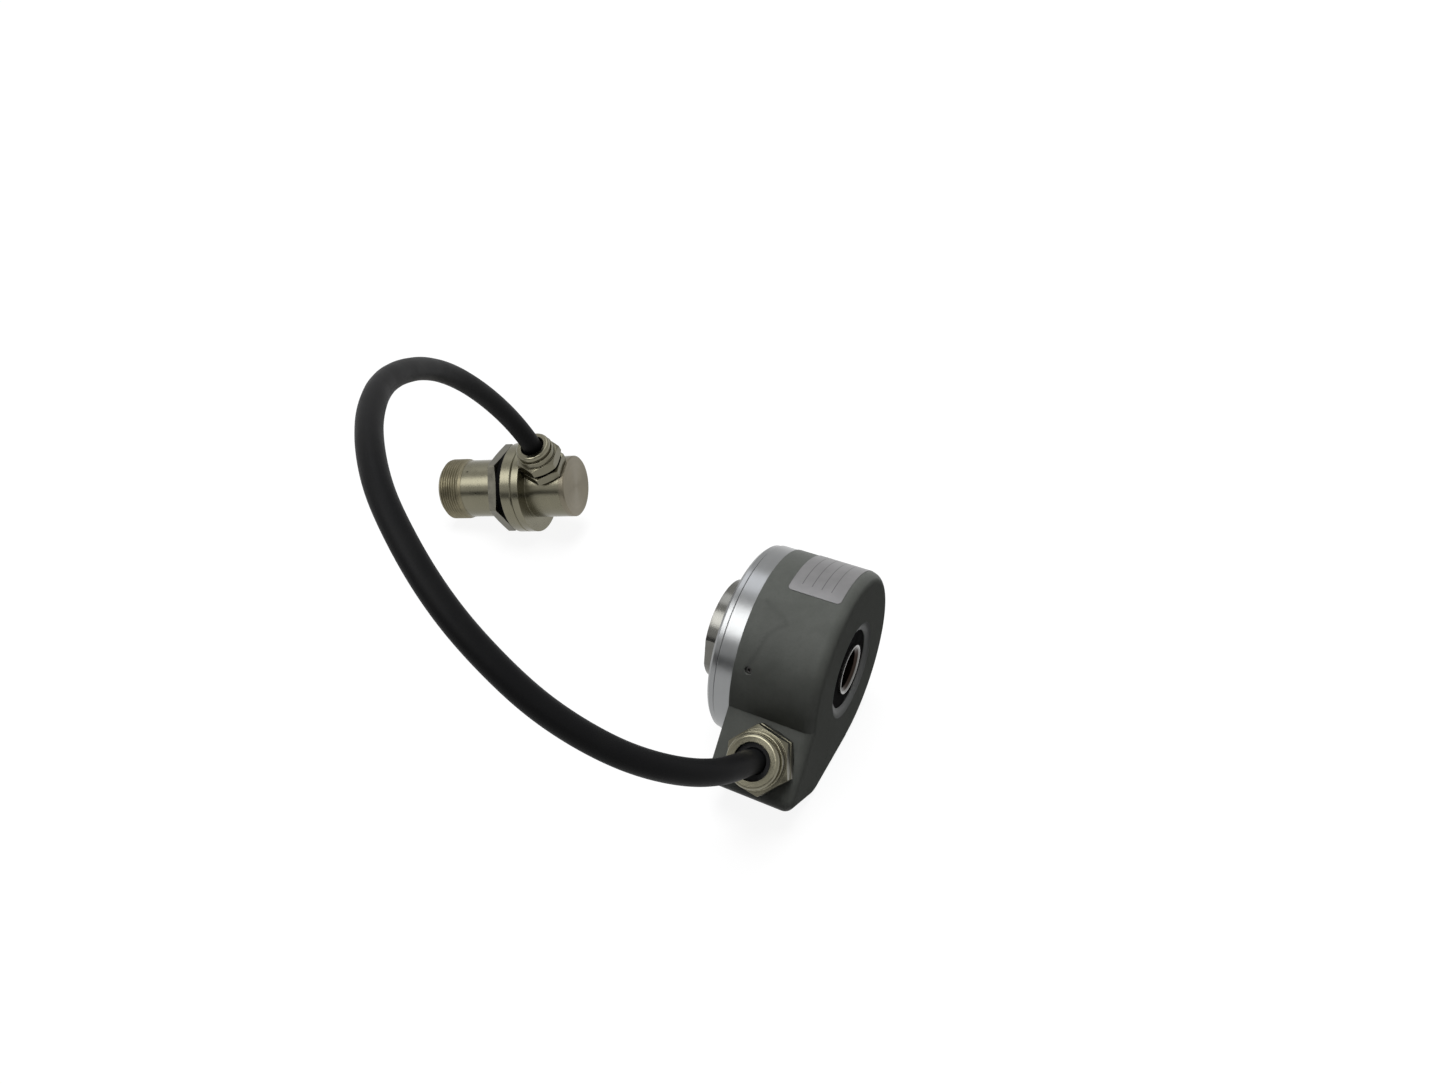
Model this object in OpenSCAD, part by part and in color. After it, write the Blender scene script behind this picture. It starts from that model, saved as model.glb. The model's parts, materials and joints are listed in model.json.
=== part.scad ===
// Hollow shaft rotary encoder on a short cable with an angled round connector.
// The shaft runs along X, the flange is on the -X side and Z is up.
// The origin is on the shaft axis where the flange meets the housing.
// The encoder and the connector lie on a table below them.

/* [Flange] */
// Radius of the flange's main rim
flange_r = 29; // [27:0.1:32]
// Thickness of the main rim
rim_t = 5; // [4:0.1:6]
// Thickness of the slightly smaller front ring
front_ring_t = 2.5; // [2:0.1:3.5]
// How far the front ring stands back from the main rim
front_ring_inset = 0.4; // [0.2:0.1:1]
// Chamfer on the flange's front edge
flange_chamfer = 0.8; // [0.3:0.1:1.2]
// Width and depth of the turned line between the two rings
turned_line = 0.3; // [0.2:0.05:0.5]
// Thickness of the flange's web between hub and spigot
web_t = 5.5; // [4.5:0.1:6.5]
// Length of the spigot that carries the housing
spigot_len = 6.5; // [6:0.1:7.5]
// Radial wall of the spigot
spigot_wall = 4.2; // [4:0.1:4.8]
// Depth of the spigot's groove for the set screws
set_groove = 0.9; // [0.6:0.1:1.2]
// Distance of the threaded mounting holes from the main rim
bolt_edge = 5; // [4.5:0.1:6]
// Radius of a mounting hole, tapped for a 4 mm screw
bolt_hole_r = 1.65; // [1.4:0.05:1.8]
// Depth of a mounting hole
bolt_hole_depth = 7; // [5:0.1:8]
// Number of mounting holes
bolt_count = 3; // [2:1:3]
// Direction of the first mounting hole, from +Y towards +Z
bolt_angle = 90; // [80:1:100]

/* [Housing] */
// How far the round housing stands out past the flange's main rim
housing_step = 0.2; // [0.1:0.05:1]
// Depth of the housing from the flange to its rear face
housing_len = 25.5; // [24:0.1:30]
// Side wall of the housing
housing_wall = 2.9; // [2.5:0.1:3.2]
// Rear wall of the housing
rear_wall = 3.5; // [3.2:0.1:4.5]
// Fillet round the rear edge
rear_fillet = 3; // [2:0.1:3.5]
// Free space between the circuit board and the rear wall
rear_gap = 1.9; // [1.6:0.1:3]
// Radial clearance of the flange spigot in the housing
spigot_clear = 0.1; // [0.05:0.01:0.2]
// Inner radius of the stop behind the rear seal
rear_lip_r = 11; // [10.5:0.1:11.5]
// Thickness of the stop behind the rear seal
rear_lip_t = 0.8; // [0.5:0.1:1.2]
// Radial width of the chamfer round the rear opening
rear_chamfer_w = 2.6; // [1.5:0.1:3]
// Depth of the chamfer round the rear opening
rear_chamfer_t = 1.1; // [0.6:0.1:1.3]
// Section diameter of the sealing ring between flange and housing
o_ring_d = 1.6; // [1.2:0.1:1.8]
// Distance of the sealing ring from the flange
o_ring_x = 1.7; // [1.4:0.1:2]
// Distance of the radial set screws from the flange
set_screw_x = 4.4; // [4.1:0.1:4.7]
// Radius of a radial set screw
set_screw_r = 1.05; // [0.8:0.05:1.2]
// How far a set screw is sunk below the housing's surface
set_screw_sunk = 0.8; // [0.4:0.1:1.2]
// Direction of the first set screw, from +Y towards +Z
set_screw_angle = 154; // [150:1:158]
// Number of set screws
set_screw_count = 3; // [2:1:3]

/* [Cable lug] */
// Slope of the gland face below the horizontal
face_slope = 50; // [45:1:55]
// Length of the flat gland face
face_len = 18.8; // [18.2:0.1:21]
// Radius of the lug's outer corner
lug_corner_r = 4; // [3.6:0.1:5]
// Radius of the lug's lower corner
foot_corner_r = 10; // [8:0.1:12]
// Distance of the lower corner's centre from the axis
foot_corner_y = 22; // [20:0.1:23]
// How far the flat foot stands below the round housing
foot_drop = 0.3; // [0.2:0.05:0.6]
// Distance of the gland from the housing's rear face
gland_back = 11; // [10.5:0.1:13]
// Distance of the gland down the face from its upper edge
gland_down = 10.3; // [10:0.1:10.6]
// Length of the hole for the gland's thread
gland_hole_len = 6.5; // [6:0.1:8]
// Width of the wire pocket along the axis
pocket_w = 10; // [9:0.1:11]
// Height of the wire pocket
pocket_h = 9.5; // [9:0.1:10]
// How far the wire pocket overlaps the hole for the gland
pocket_lap = 2; // [1.5:0.1:2.5]

/* [Label] */
// Width of the label along the axis
label_w = 15.7; // [10:0.1:16.2]
// Distance of the label from the housing's rear face
label_back = 3.1; // [3:0.1:5]
// Thickness of the label
label_t = 0.15; // [0.1:0.05:0.3]
// Direction of the label's near end, from +Y towards +Z
label_near = 103; // [98:1:108]
// Direction of the label's far end
label_far = 15; // [10:1:30]

/* [Shaft] */
// Radius of the through bore
bore_r = 6; // [5.5:0.1:6.5]
// Wall of the hollow shaft
shaft_wall = 1.5; // [1.3:0.1:1.8]
// Chamfer at each mouth of the bore
bore_chamfer = 1.1; // [0.3:0.1:1.2]
// How far the shaft's rear end stands inside the rear face
shaft_recess = 0.5; // [0.2:0.1:1]
// Height of the shaft's collar between the bearings
collar_h = 1.2; // [0.8:0.1:1.4]
// Width of a slot in the clamped end of the shaft
shaft_slot_w = 1; // [0.6:0.1:1.4]
// Number of slots in the clamped end
shaft_slots = 4; // [2:1:4]

/* [Clamping ring] */
// Outer radius of the clamping ring
clamp_r = 15.4; // [15:0.1:16.4]
// Width of the clamping ring
clamp_w = 7; // [6.6:0.1:8]
// Gap between the clamping ring and the flange
clamp_gap = 0.8; // [0.5:0.1:1.2]
// Width of the slit
clamp_slit = 2.4; // [1.5:0.1:3]
// Direction of the slit, from +Y towards +Z
clamp_angle = -30; // [-40:1:-20]
// Angle from the slit to the milled flat
clamp_flat_turn = 202; // [195:1:210]
// Depth of the milled flat
clamp_flat_depth = 0.6; // [0.3:0.1:0.8]
// Distance of the clamp screw's axis from the shaft axis
clamp_screw_pitch = 11.4; // [11.2:0.1:11.8]
// Radius of the clamp screw's shank
clamp_screw_r = 1.5; // [1.25:0.05:1.6]
// Radius of the clamp screw's head
clamp_head_r = 2.65; // [2.3:0.05:2.8]
// Height of the clamp screw's head
clamp_head_h = 3; // [2.5:0.1:3.2]
// Distance of the head's seat from the slit's middle
clamp_seat = 4; // [3.5:0.1:4.5]
// Length of the clamp screw's shank
clamp_screw_len = 10; // [9:0.1:11]

/* [Bearings] */
// Radial height of a bearing
bearing_h = 4.5; // [4.3:0.1:4.8]
// Width of a bearing
bearing_w = 5; // [4.6:0.1:5.5]
// Diameter of a ball
ball_d = 2.4; // [2.2:0.05:2.5]
// Number of balls in a bearing
ball_count = 14; // [10:1:14]
// Radial space between the two races
race_space = 1.7; // [1.5:0.1:1.9]
// Clearance of a ball in its groove
ball_clear = 0.04; // [0.02:0.01:0.06]
// Radial thickness of a cage
cage_t = 0.8; // [0.5:0.1:0.9]
// Width of a cage
cage_w = 3.6; // [3.2:0.1:4]
// Wall of the flange hub round the bearings
hub_wall = 3.5; // [3:0.1:3.8]
// Thickness of the retaining ring
retainer_t = 1.2; // [1:0.1:1.4]
// How deep the retaining ring sits in its groove
retainer_bite = 0.6; // [0.4:0.1:0.8]
// Radial width of the retaining ring
retainer_w = 1.9; // [1.6:0.1:2.2]
// Radius of the retaining ring's ears
retainer_ear_r = 1.3; // [1.1:0.1:1.5]
// Length of the hub behind the retaining ring
hub_end_len = 1.1; // [0.8:0.1:1.5]

/* [Shaft seals] */
// Thickness of the front seal
front_seal_t = 2.3; // [2:0.1:2.6]
// Radial height of the front seal
front_seal_h = 3.5; // [3:0.1:3.8]
// Thickness of the lip between front seal and bearing
front_lip_t = 0.8; // [0.6:0.1:1.1]
// Inner radius of that lip
front_lip_r = 10.2; // [9.8:0.1:10.6]
// Thickness of the rear seal
rear_seal_t = 1.4; // [1.1:0.1:1.5]
// Radial height of the rear seal
rear_seal_h = 4.5; // [4.3:0.1:5]
// Radial clearance of a seal on the shaft
seal_clear = 0.05; // [0.02:0.01:0.1]

/* [Scanning unit] */
// Length of the disc hub's collar
disc_collar_len = 3.2; // [3:0.1:4]
// Radius of the disc hub
disc_hub_r = 13; // [12.5:0.1:14]
// Thickness of the disc hub
disc_hub_t = 2.4; // [2.2:0.1:3]
// Radius of a set screw in the disc hub
disc_screw_r = 0.8; // [0.6:0.05:0.9]
// Number of set screws in the disc hub
disc_screw_count = 2; // [2:1:3]
// Direction of the first of them, from +Y towards +Z
disc_screw_angle = 45; // [30:1:60]
// Thickness of the glass code disc
disc_t = 1; // [0.8:0.1:1.5]
// Clearance between the code disc and the flange spigot's bore
disc_edge_gap = 1.2; // [1:0.1:2]
// Air gap on each side of the code disc
disc_air_gap = 0.5; // [0.4:0.1:0.8]
// Thickness of the scanning mask
mask_t = 0.6; // [0.5:0.1:1]
// Thickness of the sensor chip
sensor_t = 1.2; // [1:0.1:1.6]
// Tangential width of the sensor chip
sensor_w = 9; // [7:0.1:10]
// Width of the light source's square holder
led_size = 5.1; // [4.5:0.1:5.5]
// Clearance of the light source's holder in the flange
led_holder_gap = 0.4; // [0.3:0.05:0.5]
// Wall of the light source's holder
led_wall = 0.7; // [0.5:0.1:1]
// Clearance of the light source in its holder
lens_gap = 0.1; // [0.06:0.01:0.2]
// Thickness of the circuit board
board_t = 1.6; // [1.2:0.1:1.8]
// Clearance between the circuit board and the housing
board_gap = 0.8; // [0.5:0.1:1]
// Radius of the hole in the circuit board
board_hole_r = 10; // [9:0.1:11]
// Width of a hexagonal board spacer across its flats
spacer_af = 3.6; // [3.2:0.1:3.8]
// Radius of a board screw
board_screw_r = 0.9; // [0.7:0.05:1]
// Radius of a board screw's head
board_head_r = 1.7; // [1.5:0.05:1.9]
// Height of a board screw's head
board_head_h = 1.1; // [0.9:0.1:1.3]
// Number of board spacers
board_spacer_count = 3; // [2:1:3]
// Direction of the first board spacer, from +Y towards +Z
board_spacer_angle = 150; // [140:1:160]
// Direction of the board plug, from +Y towards +Z
plug_angle = 205; // [203:1:208]
// Tangential width of the board plug
plug_w = 7; // [6:0.1:7.5]
// Radial depth of the board plug
plug_d = 3.4; // [3:0.1:3.5]
// Height of the board plug
plug_h = 4; // [3.6:0.1:4.4]
// Radius of the bundle of inner leads
leads_r = 1.6; // [1.2:0.1:1.8]

/* [Encoder gland] */
// Width of the gland's two hexagons across their flats
gland_af = 17; // [16.4:0.1:18]
// Thickness of the sealing washer under the gland
gland_washer_t = 0.6; // [0.4:0.1:1]
// Thickness of the gland body's hexagon
gland_hex_t = 2.5; // [2:0.1:3.5]
// Gap between the body's hexagon and the nut
gland_nut_gap = 0.4; // [0.3:0.1:0.8]
// Height of the nut's hexagon
gland_nut_hex_t = 3.2; // [2.5:0.1:4]
// Height of the nut's round crown
gland_crown_h = 4.5; // [4:0.1:5.5]
// Radius of the gland's lower thread
gland_thread_r = 7.5; // [7.2:0.05:7.6]
// Length of the gland's lower thread
gland_thread_len = 6; // [5:0.1:6.4]
// Radius of the gland's upper thread
gland_neck_r = 6.6; // [6.4:0.05:6.8]
// Outer radius of the crown's front ring
gland_ring_r = 7.5; // [7.2:0.05:7.8]
// Radius of the hole in the crown
gland_mouth_r = 5.2; // [4.8:0.05:5.4]
// Turn of the gland's hexagons about its axis
gland_turn = 17; // [0:1:30]
// Thickness of the claw ring on top of the gland's seal
gland_claw_t = 1; // [0.6:0.1:1.4]

/* [Connector] */
// Place of the end cap's centre along X
connector_x = -106.7; // [-112:0.1:-102]
// Place of the end cap's centre along Y
connector_y = 54.5; // [52:0.5:57]
// Turn of the connector about the vertical
connector_yaw = 13.2; // [10:0.1:16]
// Roll of the connector's gland from upright towards -Y
connector_roll = 19.5; // [16:0.5:24]
// Radius of the elbow's round body
elbow_r = 11.4; // [11.2:0.1:12]
// Length of the elbow from end cap to flange
elbow_len = 15.8; // [15.2:0.1:17]
// Wall of the elbow
elbow_wall = 2.5; // [2.3:0.1:2.8]
// Thickness of the end cap
end_cap_t = 2; // [1.5:0.1:2.5]
// Chamfer round the end cap
end_cap_chamfer = 0.4; // [0.2:0.1:0.8]
// Radius of the two flange rings
ring_r = 16.9; // [16.4:0.1:17.5]
// Bevel of each ring where the two meet
ring_edge = 0.4; // [0.2:0.1:0.6]
// Thickness of the elbow's ring
elbow_ring_t = 3.1; // [2.6:0.1:3.6]
// Thickness of the shell's ring
shell_ring_t = 4.1; // [3.2:0.1:4.8]
// Radius of the barrel
barrel_r = 10.9; // [10.6:0.1:11.1]
// Length of the barrel
barrel_len = 20; // [19:0.1:22]
// Radius of the threaded nose
nose_r = 11.5; // [11.3:0.1:11.8]
// Length of the threaded nose
nose_len = 9.8; // [9:0.1:11]
// Radial chamfer at the nose's tip
nose_chamfer = 1.4; // [1:0.1:1.6]
// Radius of the socket inside the nose
socket_r = 9.3; // [9.1:0.1:9.5]
// Radius of the insert's seat inside the barrel
insert_r = 9.7; // [9.6:0.1:9.9]
// Depth of the socket from the nose's tip to the insert
socket_depth = 15.5; // [15:0.1:17]
// Thickness of the contact insert
insert_t = 8; // [6:0.1:10]
// Radius of a contact pin
pin_r = 0.5; // [0.4:0.05:0.6]
// Height of a contact pin above the insert
pin_h = 5; // [4:0.1:5.4]
// Number of pins on the outer circle
outer_pins = 9; // [6:1:9]
// Number of pins on the inner circle
inner_pins = 3; // [2:1:4]
// Radius of the outer circle of pins
outer_pin_pitch_r = 6.2; // [5.8:0.1:7]
// Radius of the inner circle of pins
inner_pin_pitch_r = 2.7; // [2.2:0.1:3.5]
// Thickness of the flat gasket
gasket_t = 2.9; // [1.5:0.1:3.2]
// Outer radius of the flat gasket
gasket_r = 14.6; // [13.5:0.1:15.2]
// Width of the lock nut across its flats
lock_nut_af = 29; // [28:0.1:30]
// Thickness of the lock nut
lock_nut_t = 3.3; // [3:0.1:5]
// Radius to which the lock nut's corners are turned
lock_nut_r = 16.6; // [15.6:0.1:16.7]
// Turn of the lock nut about the connector's axis
lock_nut_turn = 2; // [-5:1:10]

/* [Connector gland] */
// Distance of the gland from the end cap
elbow_gland_x = 8.2; // [8:0.1:8.6]
// Distance of the gland's seat from the connector's axis
elbow_seat = 10.9; // [10.6:0.1:11.1]
// Width of this gland's hexagons across their flats
elbow_gland_af = 14.6; // [14:0.1:15]
// Thickness of the gland body's hexagon
elbow_hex_t = 3.4; // [2.5:0.1:4]
// Gap between this gland's two hexagons
elbow_nut_gap = 1; // [0.6:0.1:1.4]
// Height of the nut's hexagon
elbow_nut_hex_t = 3.8; // [3:0.1:4.4]
// Height of the nut's round crown
elbow_crown_h = 4.8; // [3.9:0.1:5.5]
// Radius of this gland's lower thread
elbow_thread_r = 5.4; // [5.2:0.05:5.6]
// Radius of this gland's upper thread
elbow_neck_r = 5.6; // [5.5:0.05:5.8]
// Outer radius of the crown's front ring
elbow_ring_front_r = 6.3; // [6.2:0.05:6.6]
// Radius of the hole in the crown
elbow_mouth_r = 4.4; // [4.2:0.05:4.6]

/* [Cable] */
// Radius of the cable's jacket
cable_r = 3.5; // [3:0.1:3.6]
// Radial clearance of the cable in a gland's seal
cable_clear = 0.1; // [0.05:0.01:0.2]
// How far the cable reaches into the encoder below the gland face
cable_inside = 4; // [3:0.1:5]
// Length of the inner leads that runs straight at each end
lead_straight = 2; // [1.5:0.1:2.5]
// Length of jacket that runs straight out of each gland
cable_straight = 3; // [2:0.5:4]

/* [Hidden] */
$fn = 96;
// Overlap that joins two solids of one piece
eps = 0.01;
// How far a cut runs past the surface that it opens
cut = 1;
// Radial clearance of a close fit, and of a loose one
fit = 0.02;
seat_clear = 0.05;
// Radius of a hexagon socket as a share of the screw's own
hex_socket = 0.55;
cable_sides = 12;
lead_sides = 8;
// Length of the chamfer at the connector's tip
nose_edge = 1.4;
// Bevel on the glands and the lock nut
crown_edge = 0.8;
// Wall of a gland's neck
thread_wall = 1.1;

// Free route of the cable between its two straight ends
cable_route = [
  [13.5, -56, 7], [10, -64.5, 12.5], [4, -73, 20], [-3.5, -79.5, 27.5], [-12, -84, 35.5],
  [-21, -86.5, 43], [-30.5, -87, 51], [-40.5, -86, 58.5], [-50.5, -83, 65.5], [-60, -78.5, 71.5],
  [-70, -72.5, 76.5], [-79, -64.5, 79.5], [-87.5, -55.5, 80.5], [-95, -46, 80], [-102, -35.5, 78.5],
  [-107.5, -25, 75.5], [-112.5, -14.5, 71], [-116.5, -4, 66], [-119.5, 6.5, 59.5], [-121, 16, 52],
  [-121.5, 25, 43], [-120.5, 32.5, 33.5], [-119, 38.5, 24]
];
// A direction square to the arch that the cable makes
arch_normal = [4, 5, 6];

// Radii about the shaft axis
housing_r = flange_r + housing_step;
bolt_pitch_r = flange_r - bolt_edge;
shaft_r = bore_r + shaft_wall;
bearing_r = shaft_r + bearing_h;
ball_pitch_r = shaft_r + bearing_h / 2;
inner_race_r = ball_pitch_r - race_space / 2;
outer_race_r = ball_pitch_r + race_space / 2;
hub_r = bearing_r + hub_wall;
housing_bore_r = housing_r - housing_wall;
spigot_r = housing_bore_r - spigot_clear;
spigot_in_r = spigot_r - spigot_wall;
spigot_mid_r = (spigot_r + spigot_in_r) / 2;
front_ring_r = flange_r - front_ring_inset;
front_seal_r = shaft_r + front_seal_h;
rear_seal_r = shaft_r + rear_seal_h;
disc_r = spigot_in_r - disc_edge_gap;
track_r = (hub_r + spigot_in_r) / 2;
board_r = housing_bore_r - board_gap;
set_groove_r = spigot_r - set_groove;

// Places along the shaft axis, from the flange's front to the first bearing
front_x = -(rim_t + front_ring_t);
web_x = front_x + web_t;
clamp_x = front_x - clamp_gap - clamp_w;
bearing_1_x = front_x + front_seal_t + front_lip_t;
spacer_x = bearing_1_x + bearing_w;

// Places from the housing's rear face forwards to the second bearing
shaft_end_x = housing_len - shaft_recess;
wall_x = housing_len - rear_wall;
rear_seal_x = wall_x + rear_lip_t;
board_x = wall_x - rear_gap - board_t;
sensor_x = board_x - sensor_t;
mask_x = sensor_x - mask_t;
disc_x = mask_x - disc_air_gap - disc_t;
disc_hub_x = disc_x - disc_hub_t;
retainer_x = disc_hub_x - disc_collar_len;
hub_end_x = retainer_x + retainer_t + hub_end_len;
bearing_2_x = retainer_x - bearing_w;

// The spacer between the bearings takes up what is left
race_spacer_len = bearing_2_x - spacer_x;

// Lug and gland face, in the plane across the axis; the face starts inside the round housing
face_back = 6;
// How far the lug's rounded sides reach into its core
side_lap = 1;
// How far they lie below the faces that they meet
side_sink = 0.01;
face_down = [-cos(face_slope), -sin(face_slope)];
face_out = [-sin(face_slope), cos(face_slope)];
face_top = [-housing_r, 0];
foot_z = housing_r + foot_drop;
lug_corner = face_top + face_len * face_down - lug_corner_r * face_out;
foot_corner = [-foot_corner_y, -(foot_z - foot_corner_r)];
corner_gap = lug_corner - foot_corner;
under_angle = atan2(corner_gap[1], corner_gap[0])
  + acos((foot_corner_r - lug_corner_r) / norm(corner_gap));
under_out = [cos(under_angle), sin(under_angle)];
gland_x = housing_len - gland_back;
gland_face = face_top + gland_down * face_down;
gland_pos = [gland_x, gland_face[0], gland_face[1]];
gland_axis = [0, face_out[0], face_out[1]];
gland_hole_r = gland_thread_r + seat_clear;
gland_nut_h = gland_washer_t + gland_hex_t + gland_nut_gap;
gland_top_h = gland_nut_h + gland_nut_hex_t + gland_crown_h;
pocket_at = gland_face - gland_hole_len * face_out;
pocket_len = -pocket_at[0] - housing_bore_r / 2;

// Label
label_x = housing_len - label_back - label_w;

// Connector stack, measured from the end cap towards the nose
ring_at = elbow_len;
shell_at = ring_at + elbow_ring_t;
barrel_at = shell_at + shell_ring_t;
nose_at = barrel_at + barrel_len;
tip_at = nose_at + nose_len;
insert_face_at = tip_at - socket_depth;
lock_nut_at = barrel_at + gasket_t;
tip_r = nose_r - nose_chamfer;
connector_tilt = atan((ring_r - nose_r) / (tip_at - nose_edge - barrel_at));
connector_z = -foot_z + ring_r * cos(connector_tilt) + barrel_at * sin(connector_tilt);
connector_pos = [connector_x, connector_y, connector_z];
elbow_bore_r = elbow_r - elbow_wall;
elbow_nut_h = elbow_hex_t + elbow_nut_gap;
elbow_top_h = elbow_nut_h + elbow_nut_hex_t + elbow_crown_h;
elbow_thread_len = elbow_seat - elbow_bore_r;

// A vector given along the connector's own axes, turned into the part's axes
function connector_vector(v) = let (
    t = 90 + connector_tilt,
    f = 180 + connector_yaw,
    w = [v[0] * cos(t) + v[2] * sin(t), v[1], v[2] * cos(t) - v[0] * sin(t)]
  ) [w[0] * cos(f) - w[1] * sin(f), w[0] * sin(f) + w[1] * cos(f), w[2]];
elbow_gland_axis = connector_vector([-cos(connector_roll), sin(connector_roll), 0]);
elbow_gland_pos = connector_pos + connector_vector([0, 0, elbow_gland_x]) + elbow_seat * elbow_gland_axis;

// Whole path of the cable, from inside the encoder to inside the elbow
cable_start = gland_pos - cable_inside * gland_axis;
cable_path = concat(
  [cable_start, gland_pos + (gland_top_h + cable_straight) * gland_axis],
  cable_route,
  [elbow_gland_pos + (elbow_top_h + cable_straight) * elbow_gland_axis, elbow_gland_pos]
);

// Path of the inner leads, from the cable's end to the board plug
plug_r = board_r - plug_d / 2 - fit;
plug_mouth_r = plug_r + plug_d / 2;
plug_x = board_x - plug_h / 2;
leads_end = [plug_x, plug_mouth_r * cos(plug_angle), plug_mouth_r * sin(plug_angle)];
leads_path = [
  cable_start,
  cable_start - lead_straight * gland_axis,
  leads_end + lead_straight * [0, cos(plug_angle), sin(plug_angle)],
  leads_end
];

function unit(v) = v / norm(v);

// Turns a shape that stands along Z so that it lies along X, from x onwards
module along_x(x = 0) {
  translate([x, 0, 0])
    rotate([90, 0, 90])
      children();
}

// Points a shape that stands along Z outwards from the axis, at radius r and angle a
module radial(a, x, r = 0) {
  rotate([a, 0, 0])
    translate([x, r, 0])
      rotate([-90, 0, 0])
        children();
}

// Puts copies round the shaft axis
module around(count, start = 0) {
  for (i = [0 : count - 1])
    rotate([start + i * 360 / count, 0, 0])
      children();
}

// A plain ring about the local Z axis
module ring(r_out, r_in, h) {
  difference() {
    cylinder(h = h, r = r_out);
    translate([0, 0, -cut])
      cylinder(h = h + 2 * cut, r = r_in);
  }
}

// A hexagonal prism whose width across the flats is af, with corners on the local Y axis
module hexagon(af, h) {
  rotate([0, 0, 30])
    cylinder(h = h, r = af / sqrt(3), $fn = 6);
}

// A hexagon with its upper corners turned off
module turned_hexagon(af, h, edge) {
  intersection() {
    hexagon(af, h);
    rotate_extrude()
      polygon([
        [0, 0], [af / 2, 0], [af / sqrt(3), edge], [af / sqrt(3), h - edge], [af / 2, h], [0, h]
      ]);
  }
}

// The encoder gland's own frame: Z runs out of the gland face
module at_gland(h = 0) {
  translate(gland_pos)
    rotate([face_slope, 0, 0])
      translate([0, 0, h])
        children();
}

// The connector's own frame: Z runs from the end cap towards the nose and -X is upwards
module at_connector(z = 0) {
  translate(connector_pos)
    rotate([0, 90 + connector_tilt, 180 + connector_yaw])
      translate([0, 0, z])
        children();
}

// The elbow gland's own frame: Z runs out of the elbow
module at_elbow_gland(h = 0) {
  at_connector(elbow_gland_x)
    rotate([0, 0, 180 - connector_roll])
      rotate([0, 90, 0])
        translate([0, 0, elbow_seat + h])
          children();
}

// A round tube of flat facets swept along a list of points
module swept_tube(points, r, sides, plane) {
  last = len(points) - 1;
  rings = [
    for (i = [0 : last])
      let (
        t = unit(points[min(i + 1, last)] - points[max(i - 1, 0)]),
        u = unit(cross(t, plane)),
        w = cross(t, u)
      )
      for (k = [0 : sides - 1])
        points[i] + r * (cos(360 * k / sides) * u + sin(360 * k / sides) * w)
  ];
  walls = [
    for (i = [0 : last - 1], k = [0 : sides - 1], half = [0, 1])
      let (
        a = i * sides + k,
        b = i * sides + (k + 1) % sides
      )
      half == 0 ? [a, b + sides, b] : [a, a + sides, b + sides]
  ];
  caps = [
    for (k = [1 : sides - 2], end = [0, 1])
      end == 0 ? [0, k, k + 1] : last * sides * [1, 1, 1] + [0, k + 1, k]
  ];
  polyhedron(points = rings, faces = concat(walls, caps));
}

module flange() {
  color([0.86, 0.87, 0.88])
    difference() {
      along_x()
        rotate_extrude()
          polygon([
            [front_seal_r, front_x],
            [front_ring_r - flange_chamfer, front_x],
            [front_ring_r, front_x + flange_chamfer],
            [front_ring_r, -rim_t - turned_line],
            [front_ring_r - turned_line, -rim_t - turned_line],
            [front_ring_r - turned_line, -rim_t],
            [flange_r, -rim_t],
            [flange_r, 0],
            [spigot_r, 0],
            [spigot_r, o_ring_x - o_ring_d / 2],
            [housing_bore_r - o_ring_d, o_ring_x - o_ring_d / 2],
            [housing_bore_r - o_ring_d, o_ring_x + o_ring_d / 2],
            [spigot_r, o_ring_x + o_ring_d / 2],
            [spigot_r, set_screw_x - set_screw_r - spigot_clear],
            [set_groove_r, set_screw_x - set_screw_r - spigot_clear],
            [set_groove_r, set_screw_x + set_screw_r + spigot_clear],
            [spigot_r, set_screw_x + set_screw_r + spigot_clear],
            [spigot_r, spigot_len],
            [spigot_in_r, spigot_len],
            [spigot_in_r, web_x],
            [hub_r, web_x],
            [hub_r, hub_end_x],
            [bearing_r, hub_end_x],
            [bearing_r, retainer_x + retainer_t],
            [bearing_r + retainer_bite, retainer_x + retainer_t],
            [bearing_r + retainer_bite, retainer_x],
            [bearing_r, retainer_x],
            [bearing_r, bearing_1_x],
            [front_lip_r, bearing_1_x],
            [front_lip_r, front_x + front_seal_t],
            [front_seal_r, front_x + front_seal_t]
          ]);
      around(bolt_count, bolt_angle)
        translate([front_x - cut, bolt_pitch_r, 0])
          along_x()
            cylinder(h = bolt_hole_depth + cut, r = bolt_hole_r);
      around(board_spacer_count, board_spacer_angle)
        translate([spigot_len - web_t, spigot_mid_r, 0])
          along_x()
            cylinder(h = web_t + cut, r = board_screw_r + fit);
      at_track(web_x + eps)
        translate([0, -led_size / 2 - led_holder_gap, -led_size / 2 - led_holder_gap])
          cube([hub_end_x + spigot_len, led_size + 2 * led_holder_gap, led_size + 2 * led_holder_gap]);
    }
}

// Outline of the lug across the axis, drawn in by an inset
module lug_outline(inset) {
  lug_r = lug_corner_r - inset;
  foot_r = foot_corner_r - inset;
  union() {
    polygon([
      face_top - face_back * face_down - inset * face_out,
      lug_corner + lug_r * face_out,
      lug_corner + lug_r * under_out,
      foot_corner + foot_r * under_out,
      foot_corner - [0, foot_r],
      [0, foot_corner[1] - foot_r],
      [0, 0]
    ]);
    translate(lug_corner)
      circle(r = lug_r);
    translate(foot_corner)
      circle(r = foot_r);
  }
}

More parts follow.
